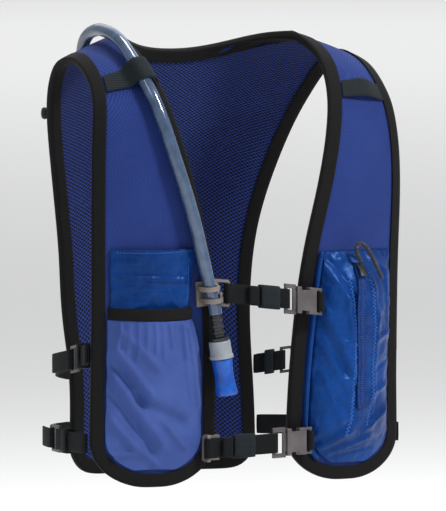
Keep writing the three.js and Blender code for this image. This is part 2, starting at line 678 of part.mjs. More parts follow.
// Nylon pouch on the back: its wall stands off the panel and is sewn down all round
const pouchBottomRow = backRowAt(-DROP + BINDING_WIDTH + 4);
const POUCH_TOP_ROW = 0.875;
const POUCH_ROWS = 12;
const POUCH_COLUMNS = 10;
const POUCH_SPREAD = 1.3;
const POUCH_FOLDS = named(FOLD_COLUMNS, [
  [0.2, 0.2, 0.8, 0.24, 1.5, 0.05],
  [0.15, 0.55, 0.6, 0.68, 2, 0.06],
  [0.4, 0.85, 0.9, 0.7, 2, 0.06],
]);

function pouchPlace(across, down) {
  const row = lerp(POUCH_TOP_ROW, pouchBottomRow, down);
  const half = backPoint(row, 1).x;
  const shoulder = lerp(0.84, 1, smooth(0, 0.16, down));
  return [row, (2 * across - 1) * (1 - POUCH_MARGIN / half) * shoulder];
}

function pouchLift(across, down) {
  const open = puff(across, 0.45) * smooth(0, 0.07, down) * (1 - smooth(0.86, 1, down));
  const full = lerp(0.62, 1, smooth(0.05, 0.5, down));
  return POUCH_DEPTH * open * full + foldLift(POUCH_FOLDS, across, down) * open;
}

function onPouch(across, down, lift) {
  const wall = PANEL_THICKNESS / 2 + 2 * GAP + NYLON_THICKNESS / 2;
  return onBack(...pouchPlace(across, down), wall + pouchLift(across, down) + lift);
}

const pouchWall = closedSheet(POUCH_ROWS, POUCH_COLUMNS, (i, j, face) =>
  onPouch(j / POUCH_COLUMNS, (i / POUCH_ROWS) ** POUCH_SPREAD, (face * NYLON_THICKNESS) / 2),
);

// Drinking hose: out of the pouch, over the right shoulder, under the keeper and down to the clip
const hosePoints = [
  [-75, 57, -31],
  [-79.5, 50.5, -19],
  [-86, 35.5, -4.5],
  [-90.5, 20, 8],
  [-92, 0, 14.5],
  [-92.5, -18, 14],
  [-92, -36, 9],
  [-91, -56, -4],
  [-89, -74.5, -21.5],
  [-83.5, -86.5, -43],
  [-74.5, -95.2, -78],
  [-60.5, -97.7, -122],
  [-50.5, -97, -158],
  [-44.4, -96.6, -182],
  [-40.9, -96.5, -193.2],
  [-39.9, -96.4, -199.2],
].map((place) => new THREE.Vector3(...place));
add("hose", tube(hosePoints, HOSE_DIAMETER, HOSE_SIDES, HOSE_STEPS), "hose");

const hoseHole = tube(hosePoints.slice(0, 4), HOSE_DIAMETER + 2 * HOSE_EASE, HOSE_SIDES, 6);
add("back_pouch", cut(pouchWall, hoseHole), "nylon");

// Mouthpiece: barb, washer, collar and bite valve turned about one line below the hose
const mouthTop = hosePoints.at(-1);
const mouthWay = new THREE.Vector3(0.154, 0, -0.988).normalize();

// profile rows hold a radius and a distance below the end of the hose
function turned(profile, sides) {
  const points = [...profile].reverse().map(([radius, below]) => new THREE.Vector2(radius, -below));
  const lathe = new THREE.LatheGeometry(points, sides);
  lathe.applyQuaternion(new THREE.Quaternion().setFromUnitVectors(new THREE.Vector3(0, -1, 0), mouthWay));
  return facingOut(lathe.translate(mouthTop.x, mouthTop.y, mouthTop.z));
}

const barbTop = 2 * GAP;
const barbEnd = barbTop + BARB_LENGTH;
const washerTop = barbEnd + GAP;
const collarTop = washerTop + WASHER_THICKNESS + GAP;
const valveTop = collarTop + COLLAR_LENGTH + GAP;
const BARB_RADIUS = 4.2;
const BARB_RING = 5.2;
const barbRings = [0.12, 0.42, 0.72].flatMap((share) => {
  const at = barbTop + share * BARB_LENGTH;
  return [
    [BARB_RADIUS, at - 0.1],
    [BARB_RING, at],
    [BARB_RING, at + 2],
    [BARB_RADIUS, at + 2.6],
  ];
});
const barbStart = [[0, barbTop], [BARB_RADIUS, barbTop]];
const barbProfile = [...barbStart, ...barbRings, [BARB_RADIUS, barbEnd], [0, barbEnd]];
add("hose_barb", turned(barbProfile, 10), "black");
const washerEnd = washerTop + WASHER_THICKNESS;
const washerProfile = [
  [0, washerTop],
  [WASHER_RADIUS, washerTop],
  [WASHER_RADIUS, washerEnd],
  [0, washerEnd],
];
add("valve_washer", turned(washerProfile, 14), "black");
const collarEnd = collarTop + COLLAR_LENGTH;
const collarProfile = [
  [0, collarTop],
  [COLLAR_RADIUS * 0.9, collarTop],
  [COLLAR_RADIUS * 0.93, collarEnd - 3],
  [COLLAR_RADIUS, collarEnd - 2.6],
  [COLLAR_RADIUS, collarEnd],
  [0, collarEnd],
];
add("valve_collar", turned(collarProfile, 14), "collar");
const valveProfile = [
  [0, valveTop],
  [VALVE_RADIUS * 0.92, valveTop],
  [VALVE_RADIUS * 0.88, valveTop + VALVE_LENGTH * 0.2],
  [VALVE_RADIUS * 0.81, valveTop + VALVE_LENGTH * 0.45],
  [VALVE_RADIUS * 0.88, valveTop + VALVE_LENGTH * 0.72],
  [VALVE_RADIUS, valveTop + VALVE_LENGTH * 0.93],
  [VALVE_RADIUS * 0.9, valveTop + VALVE_LENGTH],
  [0, valveTop + VALVE_LENGTH],
];
add("bite_valve", turned(valveProfile, 14), "valve");

// Elastic keepers across the shoulder straps, sewn in at the bindings
// The right one is tented over the hose.
const keeperOnCloth = PANEL_THICKNESS / 2 + GAP + ELASTIC_THICKNESS / 2;
const keeperOnTape = legOuter + GAP + ELASTIC_THICKNESS / 2;

function keeper(side, height, innerMargin, liftAt) {
  return closedSheet(2, 14, (i, j, face) => {
    const z = -height + KEEPER_HEIGHT * (0.5 - i / 2);
    const width = frontWidth(frontRowAt(z));
    const inset = lerp(innerMargin, width - BINDING_WIDTH - 2 * GAP, j / 14);
    return onFront(side, z, inset / width, liftAt(inset, j / 14) + (face * ELASTIC_THICKNESS) / 2);
  });
}

const HOSE_TENT_AT = 13.5;
const HOSE_TENT_WIDTH = 8.8;
const HOSE_TENT = 15.4;
function rightKeeperLift(inset) {
  const base = lerp(keeperOnTape, keeperOnCloth, smooth(BINDING_WIDTH + 1, BINDING_WIDTH + 14, inset));
  return base + (HOSE_TENT - base) * Math.exp(-(((inset - HOSE_TENT_AT) / HOSE_TENT_WIDTH) ** 4));
}
add("hose_keeper_right", keeper(-1, KEEPER_RIGHT_HEIGHT, 2, rightKeeperLift), "elastic");
const leftKeeperLift = (inset, across) => keeperOnCloth + 4 * puff(across, 2);
add("keeper_left", keeper(1, KEEPER_LEFT_HEIGHT, BINDING_WIDTH + 2 * GAP, leftKeeperLift), "elastic");

// Webbing: a line in plan given a thickness, standing WEBBING_WIDTH tall about height 0
function ribbon(line, thickness, height) {
  const points = line.map(([x, y]) => new THREE.Vector2(x, y));
  const sideOf = (way) =>
    points.map((point, k) => {
      const before = points[Math.max(0, k - 1)];
      const after = points[Math.min(points.length - 1, k + 1)];
      const into = point.clone().sub(before).normalize();
      const out = after.clone().sub(point).normalize();
      if (!k) into.copy(out);
      if (k === points.length - 1) out.copy(into);
      const turn = new THREE.Vector2(-into.y - out.y, into.x + out.x).normalize();
      const reach = thickness / 2 / Math.max(0.5, turn.dot(new THREE.Vector2(-into.y, into.x)));
      return point.clone().addScaledVector(turn, way * reach);
    });
  const [left, right] = [sideOf(1), sideOf(-1)];
  const rings = points.map((_, k) => [
    new THREE.Vector3(left[k].x, left[k].y, -height / 2),
    new THREE.Vector3(left[k].x, left[k].y, height / 2),
    new THREE.Vector3(right[k].x, right[k].y, height / 2),
    new THREE.Vector3(right[k].x, right[k].y, -height / 2),
  ]);
  return sweep(rings, [[0, 0], [0, 1], [1, 1], [1, 0]]);
}

function bend(centreX, centreY, radius, fromDegrees, toDegrees, count) {
  return steps(fromDegrees, toDegrees, count).map((degrees) => {
    const turn = THREE.MathUtils.degToRad(degrees);
    return [centreX + radius * Math.cos(turn), centreY + radius * Math.sin(turn)];
  });
}

function moved(geometry, placeOf) {
  const out = facingOut(geometry);
  const corners = out.getAttribute("position");
  const point = new THREE.Vector3();
  for (let k = 0; k < corners.count; k++) {
    const to = placeOf(point.fromBufferAttribute(corners, k));
    corners.setXYZ(k, to.x, to.y, to.z);
  }
  return facingOut(out);
}

// A band round something: an outer box with a clear box through it along X
function band(fromX, toX, lowY, highY, innerHeight, wall) {
  const outer = box(fromX, lowY - wall, -innerHeight / 2 - wall, toX, highY + wall, innerHeight / 2 + wall);
  return cut(outer, box(fromX - 1, lowY, -innerHeight / 2, toX + 1, highY, innerHeight / 2));
}

const hairpin = BAR / Math.SQRT2 + GAP + 0.05 + WEBBING_THICKNESS / 2;
const slotHeight = WEBBING_WIDTH + 4 * GAP;
const frameHeight = slotHeight + 2 * RAIL;

// Chest straps: each runs from a hook on the right front's inner edge to a buckle over the left one's
const CHEST_COLUMNS = [
  "name", "rightHeight", "leftHeight", "barX", "barLift", "maleX", "maleLength",
  "femaleX", "femaleLength", "sleeveX", "sleeveLength", "tailX", "clip",
];
const lowerHook = DROP - LOWER_HOOK_RISE;
const lowerBuckle = DROP - LOWER_BUCKLE_RISE;
const CHEST_ROWS = named(CHEST_COLUMNS, [
  ["upper", 184, 192, 10.7, 7.5, 19, 9.4, 28.7, 16.8, -2, 16, -10, true],
  ["lower", lowerHook, lowerBuckle, -8.6, 9.7, 13, 11, 24.3, 16.8, -21, 18, -29, false],
]);
const BUCKLE_LIFT = 12.2;
const BUCKLE_HALF = 3.2;
const LEG_EASE = 0.4;
const LEG_WALL = 2;
const FINGER = 2;

const hoseCurve = new THREE.CatmullRomCurve3(hosePoints);
const hoseAt = (z) => hoseCurve.getPoint(rowWhere(0.2, 1, (along) => hoseCurve.getPoint(along).z < z));

// Edge frame of the right front's inner edge: x runs off the edge, y into the body, z up along the edge
function edgeFrame(z) {
  const row = frontRowAt(z);
  const edge = frontPoint(-1, row, 0);
  const up = frontPoint(-1, row - 0.01, 0).sub(frontPoint(-1, row + 0.01, 0)).normalize();
  const inwards = frontNormal(-1, row, 0.02).negate();
  const off = inwards.clone().cross(up).normalize();
  const toInside = up.clone().cross(off);
  return new THREE.Matrix4().makeBasis(off, toInside, up).setPosition(edge);
}

for (const strap of CHEST_ROWS) {
  const slope = (strap.rightHeight - strap.leftHeight) / 75;
  const heightAt = (x) => -strap.rightHeight + slope * (x + 25);
  const sloped = (geometry) => moved(geometry, ({ x, y, z }) => new THREE.Vector3(x, y, z + heightAt(x)));
  const hookZ = heightAt(-36);
  const frame = edgeFrame(hookZ);
  const edge = new THREE.Vector3().setFromMatrixPosition(frame);
  const bar = new THREE.Vector3(strap.barX, -strap.barLift, 0).applyMatrix4(frame);

  // the hook: a C over the panel's edge with a bar in front that carries the webbing
  const legLow = legOuter + LEG_EASE;
  const reach = strap.clip ? 15.2 : 10.6;
  const web = nose + LEG_EASE;
  const hookPieces = [
    box(-reach, -legLow - LEG_WALL, -HOOK_HEIGHT / 2, web + LEG_WALL, -legLow, HOOK_HEIGHT / 2),
    box(web, -legLow - 0.5, -HOOK_HEIGHT / 2, web + LEG_WALL, legLow + LEG_WALL, HOOK_HEIGHT / 2),
    box(-9, legLow, -HOOK_HEIGHT / 2, web + LEG_WALL, legLow + LEG_WALL, HOOK_HEIGHT / 2),
  ];
  if (strap.clip) {
    const middleRadius = HOSE_DIAMETER / 2 + CLIP_EASE + FINGER / 2;
    const low = -legLow - LEG_WALL / 2;
    const toFrame = frame.clone().invert();
    for (const middle of [4.6, -4.6]) {
      const hose = hoseAt(hookZ + middle).applyMatrix4(toFrame);
      const [from, to] = [hose.x - middleRadius, hose.x + middleRadius];
      const arch = [[from, low], ...bend(hose.x, hose.y, middleRadius, 180, 360, 6), [to, low]];
      hookPieces.push(ribbon(arch, FINGER, 3.4).translate(0, 0, middle));
      hookPieces.push(ribbon([[to, low], [to, hose.y - 1]], FINGER, 6).translate(0, 0, middle / 2));
    }
  }
  const clip = hookPieces.map((piece) => piece.applyMatrix4(frame));
  const armFrom = strap.clip ? web - 0.5 : strap.barX;
  const armStart = new THREE.Vector3(armFrom, -legLow - LEG_WALL / 2, 0).applyMatrix4(frame);
  const [armX, armY] = [armStart.x, armStart.y];
  const arms = [-1, 1].map((way) => {
    const arm = ribbon([[armX, armY], [bar.x, bar.y - BAR / 2]], 2.6, RAIL);
    return sloped(arm.translate(0, 0, (way * (slotHeight + RAIL)) / 2));
  });
  const hookBar = box(
    bar.x - BAR / 2, bar.y - BAR / 2, -slotHeight / 2 - 1,
    bar.x + BAR / 2, bar.y + BAR / 2, slotHeight / 2 + 1,
  );
  add(`chest_hook_${strap.name}`, join(...clip, ...arms, sloped(hookBar)), "hook");

  // the buckle stands off the left front
  const rowLeft = frontRowAt(heightAt(37));
  const leftEdge = frontPoint(1, rowLeft, 0);
  const buckleY = leftEdge.y - BUCKLE_LIFT;
  const male = strap.maleX + BAR / 2;
  const maleEnd = strap.maleX + strap.maleLength;
  const block = (fromX, toX, half, height) =>
    box(fromX, buckleY - half, -height / 2, toX, buckleY + half, height / 2);
  const maleFrame = block(strap.maleX, maleEnd, BAR / 2, frameHeight + 2.4);
  const maleSlot = block(strap.maleX + BAR, maleEnd - 2.4, 3, slotHeight);
  const tongue = block(maleEnd - 1, maleEnd + 4.4, 1.4, slotHeight - 3);
  add(`buckle_male_${strap.name}`, sloped(join(cut(maleFrame, maleSlot), tongue)), "buckle");

  const endBar = strap.femaleX + strap.femaleLength + 4.6;
  const body = block(strap.femaleX, strap.femaleX + strap.femaleLength, BUCKLE_HALF, frameHeight);
  const rails = block(strap.femaleX + 2, endBar + BAR / 2, BAR / 2, frameHeight);
  const endSlot = block(strap.femaleX + strap.femaleLength, endBar - BAR / 2, 3, slotHeight);
  const pocket = block(strap.femaleX - 1, maleEnd + 4.4 + GAP, 1.4 + GAP, slotHeight - 3 + 2 * GAP);
  const notches = [-1, 1].map((way) => {
    const notch = block(strap.femaleX + 4, strap.femaleX + 10.5, 5, 5);
    return notch.translate(0, 0, (way * frameHeight) / 2);
  });
  add(`buckle_female_${strap.name}`, sloped(cut(join(body, rails), endSlot, pocket, ...notches)), "buckle");

  // the anchor: webbing from the left front's binding up through the buckle and round its end bar
  const lift = (x, height) => [x, leftEdge.y - height];
  const anchorLow = legOuter + GAP + WEBBING_THICKNESS / 2 + 0.7;
  const anchor = [
    lift(leftEdge.x + 1, anchorLow),
    lift(leftEdge.x + 5, anchorLow + 0.4),
    lift(endBar - hairpin - 1.6, BUCKLE_LIFT - BUCKLE_HALF - GAP - 1.4),
    ...bend(endBar, buckleY, hairpin, 170, 425, 9),
  ];
  add(`chest_anchor_${strap.name}`, sloped(ribbon(anchor, WEBBING_THICKNESS, WEBBING_WIDTH)), "webbing");

  // the webbing: sewn round the hook's bar, on to the male half, round its bar and back as a tail
  const main = (x) => lerp(bar.y - 0.5, buckleY + 1, smooth(bar.x, male, x));
  const sleeveEnd = strap.sleeveX + strap.sleeveLength;
  const layer = WEBBING_THICKNESS + 2.2 * GAP;
  const tailFold = 1.3;
  const tailFrom = strap.tailX;
  const middles = steps(bar.x + 9, male - 6, 4);
  const line = [
    [bar.x + 12, main(bar.x + 12) + layer],
    [bar.x + 3, bar.y + hairpin - 0.2],
    ...bend(bar.x, bar.y, hairpin, 80, 280, 7),
    ...middles.map((x) => [x, main(x)]),
    ...bend(male, buckleY, hairpin, 90, -90, 7),
    ...[...middles].reverse().filter((x) => x > tailFrom + 2).map((x) => [x, main(x) - layer]),
    [tailFrom, main(tailFrom) - layer],
    ...bend(tailFrom, main(tailFrom) - layer - tailFold, tailFold, 135, 270, 3),
    [tailFrom + 6, main(tailFrom + 6) - layer - 2 * tailFold],
  ];
  add(`chest_strap_${strap.name}`, sloped(ribbon(line, WEBBING_THICKNESS, WEBBING_WIDTH)), "webbing");
  const webbingY = [main(strap.sleeveX), main(sleeveEnd)];
  const sleeveY = [...webbingY.map((y) => y - layer), ...webbingY];
  const room = WEBBING_THICKNESS / 2 + GAP;
  const [sleeveLow, sleeveHigh] = [Math.min(...sleeveY) - room, Math.max(...sleeveY) + room];
  const sleeveRoom = WEBBING_WIDTH + 2 * GAP;
  const sleeve = band(strap.sleeveX, sleeveEnd, sleeveLow, sleeveHigh, sleeveRoom, SLEEVE_THICKNESS);
  add(`strap_sleeve_${strap.name}`, sloped(sleeve), "elastic");
}

// Side straps: each follows a line in plan from the front's outer edge to the back's
// x and y are places in plan for the wearer's left side.
const SIDE_LINES = {
  upper: [[127, -45], [121, -20], [118.5, 5], [113, 30], [101, 52]],
  lower: [[133, -45], [131.5, -25], [127.5, 0], [122, 22], [110, 45]],
};
const SIDE_COLUMNS = [
  "name", "side", "line", "frontHeight", "backHeight", "lockAt", "keeperAt", "tail", "fromBack",
];
const lowerFront = DROP - LOWER_LOCK_RISE;
const lowerBack = DROP - LOWER_BACK_RISE;
const SIDE_ROWS = named(SIDE_COLUMNS, [
  ["upper_right", -1, "upper", 228, 250, 36, 16, 34, false],
  ["upper_left", 1, "upper", 228, 250, 22, 9, 40, true],
  ["lower_right", -1, "lower", lowerFront, lowerBack, 54, 30, 26, false],
  ["lower_left", 1, "lower", lowerFront, lowerBack, 54, 30, 26, false],
]);
const LOCK_PITCH = 9;
const SIDE_KEEPER_WIDTH = 7;
const FRONT_STANDOFF = nose + WEBBING_THICKNESS + 0.9;
const BACK_STANDOFF = nose + WEBBING_THICKNESS;

for (const strap of SIDE_ROWS) {
  const frontRow = frontRowAt(-strap.frontHeight);
  const frontEnd = frontPoint(1, frontRow, 1);
  frontEnd.addScaledVector(frontEnd.clone().sub(frontPoint(1, frontRow, 0.95)).normalize(), FRONT_STANDOFF);
  const backRow = backRowAt(-strap.backHeight);
  const backEnd = backPoint(backRow, 1);
  backEnd.addScaledVector(backEnd.clone().sub(backPoint(backRow, 0.95)).normalize(), BACK_STANDOFF);
  const plan = [[frontEnd.x, frontEnd.y], ...SIDE_LINES[strap.line], [backEnd.x, backEnd.y]];
  if (strap.fromBack) plan.reverse();
  const curve = new THREE.SplineCurve(plan.map(([x, y]) => new THREE.Vector2(x, y)));
  const length = curve.getLength();
  const heights = [-strap.frontHeight, -strap.backHeight];
  if (strap.fromBack) heights.reverse();
  const outwards = strap.fromBack ? -1 : 1;

  // x runs along the strap, y away from the body
  const alongStrap = (geometry) =>
    moved(geometry, ({ x, y, z }) => {
      const share = THREE.MathUtils.clamp(x / length, 0, 1);
      const at = curve.getPointAt(share);
      const way = curve.getTangentAt(share);
      const [outX, outY] = [way.y * outwards, -way.x * outwards];
      const flatX = at.x + outX * y;
      return new THREE.Vector3(strap.side * flatX, at.y + outY * y, z + lerp(...heights, share));
    });
  const nameOf = (part) => `${part}_${strap.name}`;
  const bars = [strap.lockAt, strap.lockAt + LOCK_PITCH, strap.lockAt + 2 * LOCK_PITCH];
  const [lockStart, lockEnd] = [bars[0] - BAR / 2, bars[2] + BAR / 2];
  const lockFrame = box(lockStart, -BAR / 2, -frameHeight / 2, lockEnd, BAR / 2, frameHeight / 2);
  const slots = bars.slice(1).map((at) =>
    box(at - LOCK_PITCH + BAR / 2, -BAR, -slotHeight / 2, at - BAR / 2, BAR, slotHeight / 2),
  );
  add(nameOf("ladder_lock"), alongStrap(cut(lockFrame, ...slots)), "buckle");

  const loopStart = WEBBING_THICKNESS / 2 + GAP / 2;
  const anchor = [
    [0, -loopStart],
    [bars[0] / 2, -hairpin * 0.8],
    ...bend(bars[0], 0, hairpin, -90, 90, 6),
    [bars[0] / 2, hairpin * 0.8],
    [0, loopStart],
  ];
  add(nameOf("side_anchor"), alongStrap(ribbon(anchor, WEBBING_THICKNESS, WEBBING_WIDTH)), "webbing");

  const tailEnd = bars[2] + strap.tail;
  const webbing = [
    ...steps(length, bars[2] + 12, 5).map((at) => [at, -hairpin * (1 - smooth(bars[2] + 24, length, at))]),
    ...bend(bars[2], 0, hairpin, 270, 90, 6),
    ...steps(bars[2] + 8, tailEnd, 3).map((at) => [at, hairpin + 0.02 * (at - bars[2])]),
  ];
  add(nameOf("side_strap"), alongStrap(ribbon(webbing, WEBBING_THICKNESS, WEBBING_WIDTH)), "webbing");

  const clear = hairpin + WEBBING_THICKNESS / 2 + GAP;
  const keeperEnd = strap.keeperAt + SIDE_KEEPER_WIDTH;
  const keeperRoom = WEBBING_WIDTH + 4 * GAP;
  const ring = band(strap.keeperAt, keeperEnd, -clear, clear, keeperRoom, ELASTIC_THICKNESS);
  add(nameOf("side_keeper"), alongStrap(ring), "elastic");
}

// Zip slider at the top of the front zip and the cord tied through it, in a loop with one long end
const sliderHeight = ZIP_TOP + 5;
const zipFace = PANEL_THICKNESS / 2 + POCKET_EASE + NYLON_THICKNESS / 2 + zipLow + ZIP_THICKNESS;

function onZip(height, aside, above) {
  const wall = zipFace + zipPocketLift(zipAcross(downOf(height)), downOf(height));
  const width = frontWidth(frontRowAt(-height));
  const share = pocketShare(-height, zipAcross(downOf(height)), zipPocketMargin(height)) + aside / width;
  return onFront(1, -height, share, wall + above);
}
const sliderPlace = (x, y, z) => onZip(sliderHeight - z, x, y);
const slider = closedSheet(2, 2, (i, j, face) => {
  const taper = 1 - 0.25 * i * (2 - i);
  return sliderPlace((j - 1) * 3.2 * taper, face < 0 ? GAP + 0.5 : 3.1, (1 - i) * 4.4);
});
add("zip_slider", slider, "black");
const pullPoints = [
  [84.5, -98.6, -162.5],
  [80.5, -98.4, -153],
  [82, -99, -147.5],
  [86, -99, -148.5],
  [90.5, -99.5, -153],
  [94, -101.5, -161],
  [96.5, -105, -169],
  [98, -107.5, -175],
].map((place) => new THREE.Vector3(...place));
add("zip_pull_cord", tube(pullPoints, PULL_CORD, 8, 16), "black");

// Back zip on the right side of the pouch, with a knobbed cord on its slider
// A point above the pouch's own faces: rows and columns are counted from its top right corner.
function onPouchFaces(row, column, lift) {
  const [r, c] = [Math.floor(row), Math.floor(column)];
  const corner = (i, j) => onPouch(j / POUCH_COLUMNS, (i / POUCH_ROWS) ** POUCH_SPREAD, lift);
  const upper = corner(r, c).lerp(corner(r, c + 1), column - c);
  return upper.lerp(corner(r + 1, c).lerp(corner(r + 1, c + 1), column - c), row - r);
}
const backZipLow = NYLON_THICKNESS / 2 + 0.95;
const backZip = closedSheet(BACK_ZIP_ROWS, 2, (i, j, face) =>
  onPouchFaces(BACK_ZIP_TOP + i, 0.5 + (j - 1) * 0.2, backZipLow + (face < 0 ? 0 : ZIP_THICKNESS)),
);
add("back_zip", backZip, "tape");
const backZipFace = backZipLow + ZIP_THICKNESS;
const backSlider = closedSheet(1, 2, (i, j, face) =>
  onPouchFaces(BACK_ZIP_TOP + 0.2 + 0.4 * i, 0.5 + (j - 1) * 0.13, backZipFace + (face < 0 ? GAP : 3)),
);
const sliderTop = onPouchFaces(BACK_ZIP_TOP + 0.4, 0.5, backZipFace + 2);
const knobMiddle = new THREE.Vector3(-99, 74, -51);
const knob = new THREE.CapsuleGeometry(KNOB_RADIUS, 4, 2, 8).rotateX(Math.PI / 2);
knob.translate(knobMiddle.x, knobMiddle.y, knobMiddle.z);
const knobCord = tube([sliderTop, sliderTop.clone().lerp(knobMiddle, 0.5), knobMiddle], 1.8, 6, 3);
add("back_zip_pull", join(backSlider, knobCord, knob), "black");

export default vest;
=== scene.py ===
import math

import bpy
from mathutils import Matrix, Vector


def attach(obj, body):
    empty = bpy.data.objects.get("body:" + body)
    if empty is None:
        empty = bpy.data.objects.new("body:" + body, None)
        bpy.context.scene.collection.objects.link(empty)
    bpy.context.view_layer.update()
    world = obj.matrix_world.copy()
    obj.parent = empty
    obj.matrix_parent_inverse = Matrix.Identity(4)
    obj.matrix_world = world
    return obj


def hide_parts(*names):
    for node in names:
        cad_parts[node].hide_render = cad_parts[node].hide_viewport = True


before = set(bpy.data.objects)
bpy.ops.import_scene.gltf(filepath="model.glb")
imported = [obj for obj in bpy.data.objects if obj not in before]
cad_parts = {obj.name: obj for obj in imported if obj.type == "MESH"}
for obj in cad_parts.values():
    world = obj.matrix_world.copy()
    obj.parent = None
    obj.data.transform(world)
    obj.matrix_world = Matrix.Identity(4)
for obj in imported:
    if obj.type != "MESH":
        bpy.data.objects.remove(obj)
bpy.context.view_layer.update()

# Camera: three quarters from the vest's own right side, just above level, through a long lens.
# The picture is 343 mm wide at the vest.
LENS = 630
SENSOR = 36
PICTURE_WIDTH = 0.343
right = Vector((0.883, -0.469, 0))
up = Vector((0.0246, 0.0462, 0.9986))
back = right.cross(up).normalized()
aim = right * 0.0154 + up * -0.15985
bpy.ops.object.camera_add()
camera = bpy.context.object
camera.data.lens = LENS
camera.data.sensor_width = SENSOR
camera.data.sensor_fit = "HORIZONTAL"
camera.data.clip_end = 200
turn = Matrix((right, up, back)).transposed().to_4x4()
camera.matrix_world = Matrix.Translation(aim + back * (PICTURE_WIDTH * LENS / SENSOR)) @ turn
bpy.context.scene.camera = camera
bpy.context.scene.view_settings.view_transform = "Standard"

# Studio: a sheet of white paper just below the hanging vest, a dim white surround, and large soft lights.
# The paper light hangs far behind the vest, to whiten the paper there.
PAPER_SIZE = 120
PAPER_HEIGHT = -0.42
SURROUND_STRENGTH = 0.42
bpy.ops.mesh.primitive_plane_add(size=PAPER_SIZE, location=(0, 0, PAPER_HEIGHT))
sweep = bpy.context.object
sweep.name = "studio_sweep"


def colour(hex_code):
    """An sRGB hex code as linear values."""
    parts = [int(hex_code[k : k + 2], 16) / 255 for k in (1, 3, 5)]
    return tuple(p / 12.92 if p <= 0.04045 else ((p + 0.055) / 1.055) ** 2.4 for p in parts) + (1,)


def add_node(tree, kind, settings=None, links=None):
    """Adds a node, sets its fields and sockets, and links sockets given by name or number."""
    made = tree.nodes.new(kind)
    for key, value in (settings or {}).items():
        if isinstance(key, int) or key in made.inputs:
            made.inputs[key].default_value = value
        else:
            setattr(made, key, value)
    for key, socket in (links or {}).items():
        tree.links.new(socket, made.inputs[key])
    return made


def start_material(name, roughness, **fixed):
    """A new material with its shader; fixed values go straight on the shader's sockets."""
    material = bpy.data.materials.new(name)
    material.use_nodes = True
    shader = material.node_tree.nodes["Principled BSDF"]
    shader.inputs["Roughness"].default_value = roughness
    for key, value in fixed.items():
        shader.inputs[key.replace("_", " ")].default_value = value
    coords = add_node(material.node_tree, "ShaderNodeTexCoord").outputs["Object"]
    return material, material.node_tree, shader, coords


# uncoated white paper: matt, one even white with no highlight
paper = start_material("white_paper", 0.95, Base_Color=colour("#fbfbfb"))[0]
sweep.data.materials.append(paper)

world = bpy.data.worlds.new("studio")
world.use_nodes = True
surround = world.node_tree.nodes["Background"]
surround.inputs["Color"].default_value = colour("#fdfeff")
surround.inputs["Strength"].default_value = SURROUND_STRENGTH
bpy.context.scene.world = world


def soft_light(name, place, size, power, aim_at=(0, 0, -0.16)):
    """A square soft light, size metres wide and power watts strong, turned towards a point."""
    bpy.ops.object.light_add(type="AREA", location=place)
    light = bpy.context.object
    light.name = name
    light.data.size = size
    light.data.energy = power
    light.rotation_euler = (Vector(aim_at) - Vector(place)).to_track_quat("-Z", "Y").to_euler()


soft_light("key_light", (0.7, -1.4, 1.2), size=0.4, power=34)
soft_light("fill_light", (-1.4, -0.9, 0.9), size=0.7, power=5)
soft_light("top_light", (0.1, 0.2, 1.4), size=0.5, power=12)
soft_light("paper_light", (8, 15, 10), size=20, power=1150, aim_at=(8, 15.01, 0))


# Mesh panels: the two fronts and the back, 3 mm thick, of polyester spacer mesh, which is a knitted face
# with small holes over an airy core. They are cut to shape, their raw edges are bound with tape, and the
# fronts are sewn to the back at the shoulder seams.
SAME_POINT = 0.00001


def select_only(*pieces):
    """Leaves edit mode and selects these pieces alone, the first one active."""
    if bpy.context.object and bpy.context.object.mode != "OBJECT":
        bpy.ops.object.mode_set(mode="OBJECT")
    bpy.ops.object.select_all(action="DESELECT")
    for piece in pieces:
        piece.select_set(True)
    bpy.context.view_layer.objects.active = pieces[0]


def apply_modifier(piece, kind, name, **settings):
    """Adds a modifier with its settings and applies it; the piece is left selected."""
    select_only(piece)
    modifier = piece.modifiers.new(name, kind)
    for key, value in settings.items():
        setattr(modifier, key, value)
    bpy.ops.object.modifier_apply(modifier=modifier.name)


def merged_copy(node):
    """A copy of a node's shape with its loose triangles merged, left in edit mode, all selected."""
    select_only(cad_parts[node])
    bpy.ops.object.duplicate()
    piece = bpy.context.object
    piece.name = f"{node}_made"
    bpy.ops.object.mode_set(mode="EDIT")
    bpy.ops.mesh.select_all(action="SELECT")
    bpy.ops.mesh.remove_doubles(threshold=SAME_POINT)
    return piece


def rounded_copy(node, levels=2, crease=0.55, sharp=50):
    """A finer copy of a soft node: triangles paired to quads, rims creased, then subdivided."""
    piece = merged_copy(node)
    bpy.ops.mesh.tris_convert_to_quads(face_threshold=math.pi, shape_threshold=math.pi)
    bpy.ops.mesh.select_all(action="DESELECT")
    bpy.ops.mesh.select_mode(type="EDGE")
    bpy.ops.mesh.edges_select_sharp(sharpness=math.radians(sharp))
    bpy.ops.transform.edge_crease(value=crease)
    bpy.ops.mesh.select_mode(type="VERT")
    bpy.ops.object.mode_set(mode="OBJECT")
    apply_modifier(piece, "SUBSURF", "fine", levels=levels)
    bpy.ops.object.shade_smooth_by_angle(angle=math.radians(60))
    return piece


def finish_piece(piece, slot, material, *nodes):
    """Gives a piece its material, and puts it in place of its nodes on the one body; slot is not used."""
    piece.data.materials.clear()
    piece.data.materials.append(material)
    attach(piece, "root")
    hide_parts(*nodes)


def cells(size):
    """The scale of a noise or cell pattern whose patches are size mm across."""
    return 1000 / size


